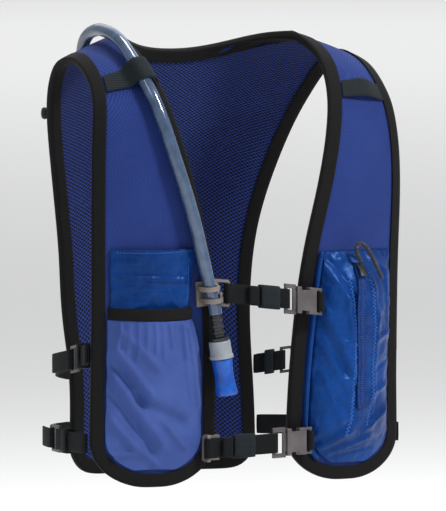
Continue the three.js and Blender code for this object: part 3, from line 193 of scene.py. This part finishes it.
def lattice_material(name, dark, light, slope, pitch, edge, strength, depth, shade):
    """Spacer mesh: slanted ridges cross over holes pitch mm apart and depth mm deep, and painted shade
    darkens the holes.

    Slope is how much they slant, edge how wide they are, and shade a tint in patches 36 mm across.
    """
    material, tree, shader, coords = start_material(
        name, 0.85, Sheen_Weight=0.05, Sheen_Roughness=0.4, Specular_IOR_Level=0.25
    )
    axes = add_node(tree, "ShaderNodeSeparateXYZ", {}, {0: coords}).outputs
    height = add_node(tree, "ShaderNodeMath", {"operation": "SUBTRACT"}, {0: axes["Z"], 1: axes["Y"]})
    waves = []
    for way in (1, -1):
        side = add_node(tree, "ShaderNodeMath", {"operation": "MULTIPLY", 1: slope * way}, {0: axes["X"]})
        slant = add_node(
            tree, "ShaderNodeMath", {"operation": "ADD"}, {0: side.outputs[0], 1: height.outputs[0]}
        )
        turns = add_node(
            tree,
            "ShaderNodeMath",
            {"operation": "MULTIPLY", 1: 1000 * math.pi / pitch},
            {0: slant.outputs[0]},
        )
        wave = add_node(tree, "ShaderNodeMath", {"operation": "SINE"}, {0: turns.outputs[0]})
        waves.append(add_node(tree, "ShaderNodeMath", {"operation": "ABSOLUTE"}, {0: wave.outputs[0]}))
    hole = add_node(
        tree, "ShaderNodeMath", {"operation": "MULTIPLY"}, {0: waves[0].outputs[0], 1: waves[1].outputs[0]}
    )
    ridge = add_node(
        tree,
        "ShaderNodeMapRange",
        {"From Min": edge, "From Max": edge + 0.35, "To Min": 1.0, "To Max": 0.0},
        {"Value": hole.outputs[0]},
    )
    # painted shade: the colour runs from light on the ridges to dark in the holes, where shade falls inside
    # the mesh
    ramp = add_node(tree, "ShaderNodeValToRGB", {}, {"Fac": ridge.outputs["Result"]})
    ramp.color_ramp.elements[0].color = colour(dark)
    ramp.color_ramp.elements[1].color = colour(light)
    patches = add_node(tree, "ShaderNodeTexNoise", {"Scale": cells(35.7), "Detail": 3.0}, {"Vector": coords})
    tint = add_node(
        tree,
        "ShaderNodeMix",
        {"data_type": "RGBA", "blend_type": "MULTIPLY", 7: colour(shade)},
        {0: patches.outputs["Fac"], 6: ramp.outputs["Color"]},
    )
    tree.links.new(tint.outputs[2], shader.inputs["Base Color"])
    bump = add_node(
        tree,
        "ShaderNodeBump",
        {"Strength": strength, "Distance": depth / 1000},
        {"Height": ridge.outputs["Result"]},
    )
    tree.links.new(bump.outputs["Normal"], shader.inputs["Normal"])
    return material


# knitted polyester with a close face: matt blue, dimples 2.2 mm apart that barely show, with faint painted
# shade in them, IOR 1.5
front_mesh = lattice_material(
    "polyester_spacer_mesh",
    dark="#15245c",
    light="#233c7c",
    slope=1.1,
    pitch=2.2,
    edge=0.4,
    strength=0.4,
    depth=0.5,
    shade="#b6bfe0",
)
for side in ("right", "left"):
    panel = rounded_copy(f"front_panel_{side}")
    finish_piece(panel, "mesh", front_mesh, f"front_panel_{side}")

# knitted polyester with an open face: matt blue ridges over diamond holes 3.2 mm apart, painted near black as
# shade, IOR 1.5
back_mesh = lattice_material(
    "open_spacer_mesh",
    dark="#030615",
    light="#273f88",
    slope=0.8,
    pitch=3.2,
    edge=0.18,
    strength=0.8,
    depth=1,
    shade="#c2c9ea",
)
back_panel = rounded_copy("back_panel")
finish_piece(back_panel, "back_mesh", back_mesh, "back_panel")


# Bindings: woven polyester tape 9 mm wide, folded over the raw edges of the panels and sewn through.
# The same tape holds in the top of the stretch pocket.
def bands(pitch):
    """The scale of a wave pattern whose bands are pitch mm apart: at scale 1 they are 314 mm apart."""
    return 314 / pitch


def woven_material(name, light, dark, pitch, strength, roughness, sheen):
    """Woven yarn: ribs pitch mm apart up the piece, broken into single threads by a finer pattern, with
    painted shade in the low places.
    """
    material, tree, shader, coords = start_material(
        name, roughness, Sheen_Weight=sheen, Sheen_Roughness=0.4, Specular_IOR_Level=0.18
    )
    ribs = add_node(
        tree,
        "ShaderNodeTexWave",
        {"bands_direction": "Z", "Scale": bands(pitch), "Distortion": 0.4, "Detail": 1.0},
        {"Vector": coords},
    )
    weave = add_node(
        tree, "ShaderNodeTexVoronoi", {"Scale": cells(0.8 * pitch), "Randomness": 0.6}, {"Vector": coords}
    )
    mixed = add_node(
        tree,
        "ShaderNodeMath",
        {"operation": "MULTIPLY"},
        {0: ribs.outputs["Fac"], 1: weave.outputs["Distance"]},
    )
    # painted shade: the height that drives the bump also drives the colour, dark in the low places of the
    # weave
    ramp = add_node(tree, "ShaderNodeValToRGB", {}, {"Fac": mixed.outputs[0]})
    ramp.color_ramp.elements[0].color = colour(dark)
    ramp.color_ramp.elements[1].position = 0.45
    ramp.color_ramp.elements[1].color = colour(light)
    tree.links.new(ramp.outputs["Color"], shader.inputs["Base Color"])
    bump = add_node(
        tree, "ShaderNodeBump", {"Strength": strength, "Distance": 0.0005}, {"Height": mixed.outputs[0]}
    )
    tree.links.new(bump.outputs["Normal"], shader.inputs["Normal"])
    return material


# ribbed polyester tape, woven: dull black with no highlight, ribs 0.9 mm apart
binding_tape = woven_material(
    "black_grosgrain_tape", "#121112", "#080708", pitch=0.9, strength=0.3, roughness=0.85, sheen=0.04
)
for node in ("binding_neck", "binding_outer_right", "binding_outer_left", "stretch_pocket_band"):
    tape = rounded_copy(node, crease=0.5)
    finish_piece(tape, "binding_tape", binding_tape, node)

# Nylon pockets: the upper right pocket, the left zip pocket and the back pouch, of light ripstop nylon.
# They are sewn in at the bindings and crumple in soft creases.

# closely woven nylon, pressed smooth: bright blue with a soft bluish gloss, IOR 1.53,
# and a faint grid of thicker threads every 5 mm
RIPSTOP_GRID = 5
ripstop, tree, shader, coords = start_material(
    "ripstop_nylon", 0.34, Specular_IOR_Level=0.4, Specular_Tint=colour("#7fb0ff")
)


def cloudy_colour(tree, coords, size, detail, dark, light, low, high):
    """Two shades in soft clouds size mm across; low and high are where each shade is pure."""
    clouds = add_node(
        tree, "ShaderNodeTexNoise", {"Scale": cells(size), "Detail": detail}, {"Vector": coords}
    )
    ramp = add_node(tree, "ShaderNodeValToRGB", {}, {"Fac": clouds.outputs["Fac"]})
    ramp.color_ramp.elements[0].position = low
    ramp.color_ramp.elements[0].color = colour(dark)
    ramp.color_ramp.elements[1].position = high
    ramp.color_ramp.elements[1].color = colour(light)
    return ramp.outputs["Color"]


cloth_blue = cloudy_colour(tree, coords, 45.5, 4.0, "#062357", "#0c397c", 0.3, 0.72)
axes = add_node(tree, "ShaderNodeSeparateXYZ", {}, {0: coords}).outputs
threads = []
for axis in ("X", "Z"):
    turns = add_node(
        tree, "ShaderNodeMath", {"operation": "MULTIPLY", 1: 1000 * math.pi / RIPSTOP_GRID}, {0: axes[axis]}
    )
    wave = add_node(tree, "ShaderNodeMath", {"operation": "SINE"}, {0: turns.outputs[0]})
    far = add_node(tree, "ShaderNodeMath", {"operation": "ABSOLUTE"}, {0: wave.outputs[0]})
    threads.append(
        add_node(tree, "ShaderNodeMath", {"operation": "LESS_THAN", 1: 0.13}, {0: far.outputs[0]})
    )
grid = add_node(
    tree, "ShaderNodeMath", {"operation": "MAXIMUM"}, {0: threads[0].outputs[0], 1: threads[1].outputs[0]}
)
fade = add_node(tree, "ShaderNodeMath", {"operation": "MULTIPLY", 1: 0.16}, {0: grid.outputs[0]})
tint = add_node(
    tree, "ShaderNodeMix", {"data_type": "RGBA", 7: colour("#164384")}, {0: fade.outputs[0], 6: cloth_blue}
)
tree.links.new(tint.outputs[2], shader.inputs["Base Color"])
crumple = add_node(
    tree, "ShaderNodeTexNoise", {"Scale": cells(13.33), "Detail": 5.0, "Distortion": 0.6}, {"Vector": coords}
)
raised = add_node(
    tree,
    "ShaderNodeMath",
    {"operation": "MULTIPLY_ADD", 1: 0.04},
    {0: grid.outputs[0], 2: crumple.outputs["Fac"]},
)
bump = add_node(tree, "ShaderNodeBump", {"Strength": 0.5, "Distance": 0.0022}, {"Height": raised.outputs[0]})
tree.links.new(bump.outputs["Normal"], shader.inputs["Normal"])


def crumple_cloth(piece, size, depth, name):
    """Soft creases: the surface moves along its normals by clouds size mm across and depth mm deep."""
    pattern = bpy.data.textures.new(name, "CLOUDS")
    pattern.noise_scale = size / 1000
    pattern.noise_depth = 2
    apply_modifier(
        piece,
        "DISPLACE",
        name,
        texture=pattern,
        texture_coords="GLOBAL",
        strength=depth / 1000,
        mid_level=0.5,
    )


def fold_cloth(piece, folds, rim=7):
    """Works folds into hanging cloth, which its seams hold flat over the last rim mm.

    Each row, in mm: x and z of one end, x and z of the other, half width, height, minus for a valley.
    """
    corners = [v.co for v in piece.data.vertices]
    low = [min(c[k] for c in corners) for k in (0, 2)]
    high = [max(c[k] for c in corners) for k in (0, 2)]
    rows = [[value / 1000 for value in fold] for fold in folds]
    for vertex in piece.data.vertices:
        x = vertex.co.x
        z = vertex.co.z
        to_seam = min(x - low[0], high[0] - x, z - low[1], high[1] - z)
        hold = min(1, max(0, 1000 * to_seam / rim))
        lift = 0
        for x0, z0, x1, z1, half, height in rows:
            run = math.hypot(x1 - x0, z1 - z0)
            along = ((x - x0) * (x1 - x0) + (z - z0) * (z1 - z0)) / run**2
            side = ((x - x0) * (z1 - z0) - (z - z0) * (x1 - x0)) / run
            past = max(0, -along, along - 1) * run
            spread = math.exp(-((side / half) ** 2) - (past / (2 * half)) ** 2)
            lift += height * spread * min(1, 1.6 - abs(along - 0.5))
        vertex.co.y -= lift * hold


UPPER_POCKET_FOLDS = [
    (-116, -171, -62, -173, 1.8, 1.3), (-110, -176, -70, -178, 3, -0.9),
    (-118, -158, -104, -160, 2, 1.2), (-118, -165, -106, -168, 1.6, -1),
    (-118, -180, -103, -177, 2, 1.2), (-118, -188, -100, -184, 1.8, -1),
    (-118, -197, -98, -192, 2.2, 1.3), (-90, -150, -78, -172, 3, 1),
    (-76, -182, -62, -200, 2.6, 1.1), (-97, -200, -90, -182, 3, 1), (-64, -152, -68, -168, 2, -0.8),
]
ZIP_POCKET_FOLDS = [
    (52, -158, 73, -192, 2.6, 2.4), (73, -192, 77, -216, 2.6, 2.2), (56, -154, 80, -186, 2, -1.8),
    (53, -192, 79, -248, 3, 2.4), (52, -204, 72, -246, 2.4, -2), (55, -228, 76, -262, 2.8, 1.8),
    (51, -309, 78, -294, 2.6, 2.6), (56, -314, 97, -298, 2.6, 2.4), (52, -302, 76, -286, 2.4, -2),
    (60, -312, 100, -306, 2, -1.6), (56, -250, 70, -284, 2.4, 1.6), (60, -262, 80, -280, 2.4, -1.4),
    (95, -178, 102, -208, 2.2, 1.8), (102, -208, 99, -268, 2.4, 1.6), (108, -170, 112, -205, 2.6, -1.8),
    (100, -160, 116, -172, 2.2, 1.8), (104, -222, 118, -216, 2, 1.5), (103, -244, 118, -236, 2, -1.4),
    (102, -262, 118, -256, 2.2, 1.6), (94, -290, 116, -276, 2.4, 1.8), (70, -160, 88, -156, 2, 1.4),
    (74, -224, 82, -226, 1.6, 1.2), (73, -236, 82, -239, 1.6, -1.1), (74, -252, 83, -256, 1.6, 1.2),
]
for node, levels, folds, crease_size, crease_depth in (
    ("upper_pocket", 3, UPPER_POCKET_FOLDS, 12, 2.2),
    ("zip_pocket", 3, ZIP_POCKET_FOLDS, 14, 2.8),
    ("back_pouch", 2, [], 30, 4),
):
    pocket = rounded_copy(node, levels, crease=0.6)
    fold_cloth(pocket, folds)
    crumple_cloth(pocket, crease_size, crease_depth, f"{node}_creases")
    finish_piece(pocket, "ripstop", ripstop, node)

# Pocket welt: a thick roll of the same ripstop nylon down the zip pocket's inner side.
# It is a folded strip of the cloth, sewn in beside the binding.
welt = rounded_copy("pocket_welt", crease=0.5)
finish_piece(welt, "ripstop", ripstop, "pocket_welt")

# Stretch pocket: the lower right pocket, a soft nylon knit gathered under its black top tape.
# It is sewn in at the bindings, and its stretch pulls it into slanting folds.

# knitted nylon: lavender blue, nearly matt with a soft sheen, knitted lines 1.1 mm apart
STRETCH_KNIT_LINES = 1.1
stretch_knit, tree, shader, coords = start_material(
    "nylon_stretch_knit", 0.68, Sheen_Weight=0.1, Sheen_Roughness=0.35, Specular_IOR_Level=0.35
)
loops = add_node(
    tree,
    "ShaderNodeTexWave",
    {"bands_direction": "X", "Scale": bands(STRETCH_KNIT_LINES), "Distortion": 1.5, "Detail": 1.0},
    {"Vector": coords},
)
knit_blue = cloudy_colour(tree, coords, 33.3, 3.0, "#283f80", "#375092", 0.3, 0.7)
tree.links.new(knit_blue, shader.inputs["Base Color"])
bump = add_node(
    tree, "ShaderNodeBump", {"Strength": 0.35, "Distance": 0.0004}, {"Height": loops.outputs["Fac"]}
)
tree.links.new(bump.outputs["Normal"], shader.inputs["Normal"])

# folds pulled from the outer edge towards the hem
STRETCH_POCKET_FOLDS = [
    (-121, -222, -94, -257, 3.6, 3.51), (-121, -230, -96, -266, 3, -2.97), (-120, -246, -81, -296, 4, 3.78),
    (-119, -258, -88, -300, 3, -2.7), (-121, -277, -104, -296, 3, 2.97), (-118, -306, -104, -304, 2, 2.7),
    (-98, -265, -64, -281, 5, -3.24), (-61, -211, -49, -266, 2.4, 3.24), (-112, -214, -88, -238, 3, 2.16),
    (-72, -212, -60, -262, 3.4, -2.43), (-76, -284, -60, -300, 3, 2.43), (-100, -300, -84, -312, 2.6, 2.43),
]
# gathers every 6 mm under the tape, spreading as they fall, in three lengths and two heights
GATHER_TOP = -205
for k, x in enumerate(range(-115, -50, 6)):
    foot = (x + 2 + (x + 85) * 0.12, -222 - 4 * (k % 3))
    STRETCH_POCKET_FOLDS.append((x, GATHER_TOP, *foot, 1.5, 1.755 - 0.54 * (k % 2)))
stretch_pocket = rounded_copy("stretch_pocket", 3, crease=0.5)
fold_cloth(stretch_pocket, STRETCH_POCKET_FOLDS, rim=4)
crumple_cloth(stretch_pocket, 30, 2.4, "stretch_creases")
finish_piece(stretch_pocket, "stretch_knit", stretch_knit, "stretch_pocket")

# Zips: the front zip down the left pocket and the side zip of the back pouch.
# Each is a woven polyester tape with a smooth coating, sewn into the nylon.

# woven and coated polyester: blue, with painted shade between ribs 1.4 mm apart, and a satin gloss
zip_tape = woven_material(
    "coated_zip_tape", "#0f3a80", "#05183e", pitch=1.4, strength=0.6, roughness=0.5, sheen=0.0
)
for node in ("pocket_zip", "back_zip"):
    tape = rounded_copy(node, crease=0.6)
    finish_piece(tape, "zip_tape", zip_tape, node)

# Threads: two zigzag rows of polyester thread sew the left pocket's nylon to its zip.
# Plain rows run along the upper right pocket's open rim and down its inner side.

# twisted polyester, bonded smooth: bright blue, slightly glossy, one twist every 0.5 mm
thread = woven_material(
    "bonded_thread", "#4a82d6", "#1f4f9f", pitch=0.5, strength=0.4, roughness=0.6, sheen=0.05
)
LONGEST_STITCH = 0.005  # a longer one would have jumped from one fold to the next
STITCH_REACH = 0.56  # half of a stitch's length, and a little more so that zigzag stitches meet


def along_path(path, pitch):
    """Places every pitch mm along a line through x, z points in mm, each with its way along."""
    places = []
    left = 0
    for (x0, z0), (x1, z1) in zip(path, path[1:]):
        run = math.hypot(x1 - x0, z1 - z0)
        way = ((x1 - x0) / run, (z1 - z0) / run)
        at = left
        while at < run:
            places.append((x0 + way[0] * at, z0 + way[1] * at, way))
            at += pitch
        left = at - run
    return places


def on_cloth(cloth, x, z, above):
    """The point over x, z (mm) on the cloth's front, above by some mm, or None where there is no cloth."""
    found, place, normal, _ = cloth.ray_cast(Vector((x / 1000, -0.2, z / 1000)), Vector((0, 1, 0)))
    return place + normal * above / 1000 if found else None


def sew(name, cloth, stitches, radius, above, material):
    """Thread laid on cloth: stitches are pairs of x, z points in mm, and each becomes a slim bead."""
    bpy.ops.object.select_all(action="DESELECT")
    bpy.ops.mesh.primitive_uv_sphere_add(segments=6, ring_count=4, radius=1, location=(0, 0, 0))
    bead = bpy.context.object
    beads = []
    for start, end in stitches:
        a = on_cloth(cloth, *start, above)
        b = on_cloth(cloth, *end, above)
        if a is None or b is None or (b - a).length > LONGEST_STITCH:
            continue
        copy = bpy.data.objects.new(name, bead.data.copy())
        bpy.context.collection.objects.link(copy)
        turn = (b - a).to_track_quat("Z", "X").to_matrix().to_4x4()
        size = Matrix.Diagonal((radius / 1000, radius / 1000, (b - a).length * STITCH_REACH, 1))
        copy.data.transform(Matrix.Translation((a + b) / 2) @ turn @ size)
        beads.append(copy)
    bpy.data.objects.remove(bead)
    select_only(*beads)
    bpy.ops.object.join()
    row = bpy.context.object
    row.name = name
    bpy.ops.object.shade_smooth()
    row.data.materials.append(material)
    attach(row, "root")


def zigzag(path, pitch, half):
    """Stitches that cross the path from side to side, half mm to each side."""
    spots = enumerate(along_path(path, pitch))
    line = [(x + way[1] * half * (-1) ** k, z - way[0] * half * (-1) ** k) for k, (x, z, way) in spots]
    return list(zip(line, line[1:]))


def plain_row(path, pitch):
    """Stitches end to end along the path, each with a gap after it."""
    length = pitch * 0.7
    return [((x, z), (x + way[0] * length, z + way[1] * length)) for x, z, way in along_path(path, pitch)]


zip_pocket = bpy.data.objects["zip_pocket_made"]
ZIP_LEFT_ROW = [(74, -168), (77.5, -190), (80, -215), (79, -253), (78, -284), (74, -296)]
ZIP_RIGHT_ROW = [(92, -170), (95.5, -190), (98.5, -212), (97.5, -241), (98, -266), (92, -290)]
zip_rows = zigzag(ZIP_LEFT_ROW, 1.5, 1.3) + zigzag(ZIP_RIGHT_ROW, 1.5, 1.3)
sew("zip_stitches", zip_pocket, zip_rows, 0.3, 0.15, thread)

upper_pocket = bpy.data.objects["upper_pocket_made"]
UPPER_TOP_ROW = [(-116, -151.5), (-86, -152), (-58, -151)]
UPPER_SIDE_ROW = [(-60, -156), (-60.5, -205)]
upper_rows = plain_row(UPPER_TOP_ROW, 2.2) + plain_row(UPPER_SIDE_ROW, 2.2)
sew("upper_pocket_stitches", upper_pocket, upper_rows, 0.26, 0.1, thread)

# Zip coil: the front zip's teeth, a nylon filament wound into a coil down the middle of its tape.
# Each turn is sewn to the tape and lies across it, one every 1.3 mm.

# drawn nylon filament: darker blue than the thread, with a satin gloss
coil_nylon = woven_material(
    "nylon_coil", "#1f4c9c", "#0b2352", pitch=1.3, strength=0.3, roughness=0.5, sheen=0.0
)
COIL_PITCH = 1.3
COIL_HALF_WIDTH = 1.3
pocket_zip = bpy.data.objects["pocket_zip_made"]
tape_points = [(1000 * v.co.x, 1000 * v.co.z) for v in pocket_zip.data.vertices]


def tape_middle(height):
    """Where the tape's middle is at a height, in mm."""
    near = [x for x, z in tape_points if abs(z - height) < 3]
    return (min(near) + max(near)) / 2, height


coil_line = [tape_middle(height) for height in range(-166, -272, -8)]
coil_turns = [
    ((x - COIL_HALF_WIDTH, z), (x + COIL_HALF_WIDTH, z)) for x, z, _ in along_path(coil_line, COIL_PITCH)
]
sew("zip_coil", pocket_zip, coil_turns, 0.42, 0.2, coil_nylon)

# Elastic keepers and strap sleeves: wide bands across both shoulder straps, the right one tented over the
# hose, and small loops that hold the tails of the side and chest straps. All are woven elastic, sewn closed.

# rubber core wound with polyester yarn, woven: dull blue-black with clear ribs 1.3 mm apart
elastic = woven_material(
    "woven_elastic", "#1e272c", "#0e1316", pitch=1.3, strength=0.6, roughness=0.85, sheen=0.04
)
side_places = [f"{level}_{side}" for level in ("upper", "lower") for side in ("right", "left")]
for node in ("hose_keeper_right", "keeper_left"):
    keeper = rounded_copy(node, crease=0.5)
    finish_piece(keeper, "elastic", elastic, node)
for node in ["strap_sleeve_upper", "strap_sleeve_lower"] + [f"side_keeper_{p}" for p in side_places]:
    keeper = rounded_copy(node, crease=0.75)
    finish_piece(keeper, "elastic", elastic, node)

# Webbing: the chest and side straps and their anchors, of polyester webbing 15 mm wide and 1.5 mm thick.
# They are folded round the bars of the buckles, hooks and locks, and their fixed ends are sewn to the edges.

# close-woven polyester: black with a cold tinge, dull, deep ribs 1.2 mm apart
webbing = woven_material(
    "polyester_webbing", "#0c1114", "#050708", pitch=1.2, strength=0.8, roughness=0.8, sheen=0.03
)
straps = [f"chest_{kind}_{level}" for kind in ("strap", "anchor") for level in ("upper", "lower")]
straps += [f"side_{kind}_{place}" for kind in ("anchor", "strap") for place in side_places]
for node in straps:
    strap = rounded_copy(node, crease=0.9, sharp=60)
    finish_piece(strap, "webbing", webbing, node)


# Buckles, locks and hooks: side-release buckles and ladder locks of grey acetal, and the two hooks on the
# right inner edge in a warmer, lighter grey. They are moulded, and the webbing is threaded round their bars.
def moulded_material(
    name, light, dark, roughness, clouds=16.7, low=0.35, high=0.7, grain=0.4, relief=0.12, **fixed
):
    """Moulded plastic or rubber: faint clouds of two shades under a fine eggshell grain, both in mm."""
    material, tree, shader, coords = start_material(name, roughness, **fixed)
    shades = cloudy_colour(tree, coords, clouds, 3.0, dark, light, low, high)
    tree.links.new(shades, shader.inputs["Base Color"])
    bumps = add_node(tree, "ShaderNodeTexNoise", {"Scale": cells(grain), "Detail": 2.0}, {"Vector": coords})
    bump = add_node(
        tree, "ShaderNodeBump", {"Strength": relief, "Distance": 0.0003}, {"Height": bumps.outputs["Fac"]}
    )
    tree.links.new(bump.outputs["Normal"], shader.inputs["Normal"])
    return material


def bevelled_copy(node, width):
    """A copy of a moulded node with its edges rounded over width mm."""
    piece = merged_copy(node)
    bpy.ops.mesh.dissolve_limited(angle_limit=math.radians(1))
    bpy.ops.object.mode_set(mode="OBJECT")
    apply_modifier(
        piece,
        "BEVEL",
        "edges",
        width=width / 1000,
        segments=3,
        limit_method="ANGLE",
        angle_limit=math.radians(40),
    )
    bpy.ops.object.shade_smooth_by_angle(angle=math.radians(35))
    return piece


# moulded acetal: mid grey, a soft even shine with an eggshell grain
buckle_plastic = moulded_material("grey_acetal", "#595456", "#403b3d", 0.4)
buckles = [f"buckle_{half}_{level}" for half in ("male", "female") for level in ("upper", "lower")]
for node in buckles + [f"ladder_lock_{place}" for place in side_places]:
    buckle = bevelled_copy(node, 0.5)
    finish_piece(buckle, "buckle_plastic", buckle_plastic, node)
# moulded acetal: warm light grey, otherwise like the buckles
hook_plastic = moulded_material("warm_grey_acetal", "#7d756f", "#5f5853", 0.42)
for node in ("chest_hook_upper", "chest_hook_lower"):
    hook = bevelled_copy(node, 0.4)
    finish_piece(hook, "hook_plastic", hook_plastic, node)

# Drinking hose: a soft clear tube 10 mm across, filled with water. It leaves the pouch through a round hole
# and lies over the right shoulder, under the keeper and through the hook's clip, down to the mouthpiece
# that is pushed into its end.

# extruded polyurethane, clear with a blue-grey tint: glossy, with faint dust that dulls it in patches
hose_plastic, tree, shader, coords = start_material(
    "clear_polyurethane", 0.12, IOR=1.45, Transmission_Weight=0.35, Coat_Weight=0.7, Coat_Roughness=0.06
)
dust = add_node(tree, "ShaderNodeTexNoise", {"Scale": cells(11.1), "Detail": 4.0}, {"Vector": coords})
ramp = add_node(tree, "ShaderNodeValToRGB", {}, {"Fac": dust.outputs["Fac"]})
ramp.color_ramp.elements[0].position = 0.3
ramp.color_ramp.elements[0].color = colour("#3a4f6e")
ramp.color_ramp.elements[1].position = 0.75
ramp.color_ramp.elements[1].color = colour("#5d7699")
tree.links.new(ramp.outputs["Color"], shader.inputs["Base Color"])
haze = add_node(tree, "ShaderNodeMapRange", {"To Min": 0.08, "To Max": 0.26}, {"Value": dust.outputs["Fac"]})
tree.links.new(haze.outputs["Result"], shader.inputs["Roughness"])
HOSE_RADIUS = 0.00495
# places that the tube passes, in millimetres
HOSE_ROUTE = [
    (-75, 57, -31), (-79.5, 50.5, -19), (-86, 35.5, -4.5), (-90.5, 20, 8), (-92, 0, 14.5), (-92.5, -18, 14),
    (-92, -36, 9), (-91, -56, -4), (-89, -74.5, -21.5), (-83.5, -86.5, -43), (-74.5, -95.2, -78),
    (-60.5, -97.7, -122), (-50.5, -97, -158), (-44.4, -96.6, -182), (-40.9, -96.5, -193.2),
    (-39.9, -96.4, -199.2),
]
line = bpy.data.curves.new("hose_line", "CURVE")
line.dimensions = "3D"
spline = line.splines.new("BEZIER")
spline.bezier_points.add(len(HOSE_ROUTE) - 1)
for knot, place in zip(spline.bezier_points, HOSE_ROUTE):
    knot.co = Vector(place) / 1000
    knot.handle_left_type = "AUTO"
    knot.handle_right_type = "AUTO"
line.resolution_u = 8
line.bevel_depth = HOSE_RADIUS
line.bevel_resolution = 8
line.use_fill_caps = True
hose = bpy.data.objects.new("hose_made", line)
bpy.context.collection.objects.link(hose)
line.materials.append(hose_plastic)
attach(hose, "root")
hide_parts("hose")

# Mouthpiece: a ribbed barb, a washer, a collar and a soft bite valve, pushed into each other below the hose.
# The barb and the washer are nylon, the collar is acetal and the valve is silicone, all moulded.

# moulded nylon: black with a soft shine
black_plastic = moulded_material("black_nylon", "#26272a", "#0f1012", 0.35)
# moulded acetal: pale grey, a duller shine than the nylon's
collar_plastic = moulded_material("pale_grey_acetal", "#8f969c", "#7a8187", 0.45)
# moulded silicone: bright blue under a thin soft gloss, IOR 1.42
valve_silicone = moulded_material(
    "blue_silicone",
    "#0d56b4",
    "#063a90",
    0.35,
    clouds=8.33,
    low=0.3,
    high=0.75,
    grain=0.556,
    relief=0.15,
    IOR=1.42,
    Coat_Weight=0.15,
)
for node, slot, material, crease in (
    ("hose_barb", "black_plastic", black_plastic, 0.8),
    ("valve_washer", "black_plastic", black_plastic, 0.85),
    ("valve_collar", "collar_plastic", collar_plastic, 0.8),
    ("bite_valve", "valve_silicone", valve_silicone, 0.45),
):
    piece = rounded_copy(node, 3, crease, sharp=35)
    finish_piece(piece, slot, material, node)

# Sliders and cords: the front zip's slider is moulded nylon, and a loop of braided polyester cord with one
# long end is threaded through it. The back zip is pulled by a knob of the same cord.
slider = bevelled_copy("zip_slider", 0.6)
finish_piece(slider, "black_plastic", black_plastic, "zip_slider")
# braided polyester: matt black, strands 1.1 mm apart, with pale flecks of reflective yarn
black_cord, tree, shader, coords = start_material("braided_cord", 0.7, Sheen_Weight=0.2)
plait = add_node(tree, "ShaderNodeTexVoronoi", {"Scale": cells(1.11), "Randomness": 0.5}, {"Vector": coords})
flecks = add_node(tree, "ShaderNodeTexVoronoi", {"Scale": cells(2.38), "Randomness": 1.0}, {"Vector": coords})
spots = add_node(tree, "ShaderNodeMath", {"operation": "LESS_THAN", 1: 0.13}, {0: flecks.outputs["Distance"]})
tint = add_node(
    tree,
    "ShaderNodeMix",
    {"data_type": "RGBA", 6: colour("#0c0c0d"), 7: colour("#a08c74")},
    {0: spots.outputs[0]},
)
tree.links.new(tint.outputs[2], shader.inputs["Base Color"])
bump = add_node(
    tree, "ShaderNodeBump", {"Strength": 0.6, "Distance": 0.0004}, {"Height": plait.outputs["Distance"]}
)
tree.links.new(bump.outputs["Normal"], shader.inputs["Normal"])
BRAID_SWELL = 0.0003
for node in ("zip_pull_cord", "back_zip_pull"):
    cord = rounded_copy(node, crease=0.3)
    apply_modifier(cord, "DISPLACE", "plump", strength=BRAID_SWELL, mid_level=0)
    finish_piece(cord, "black_cord", black_cord, node)
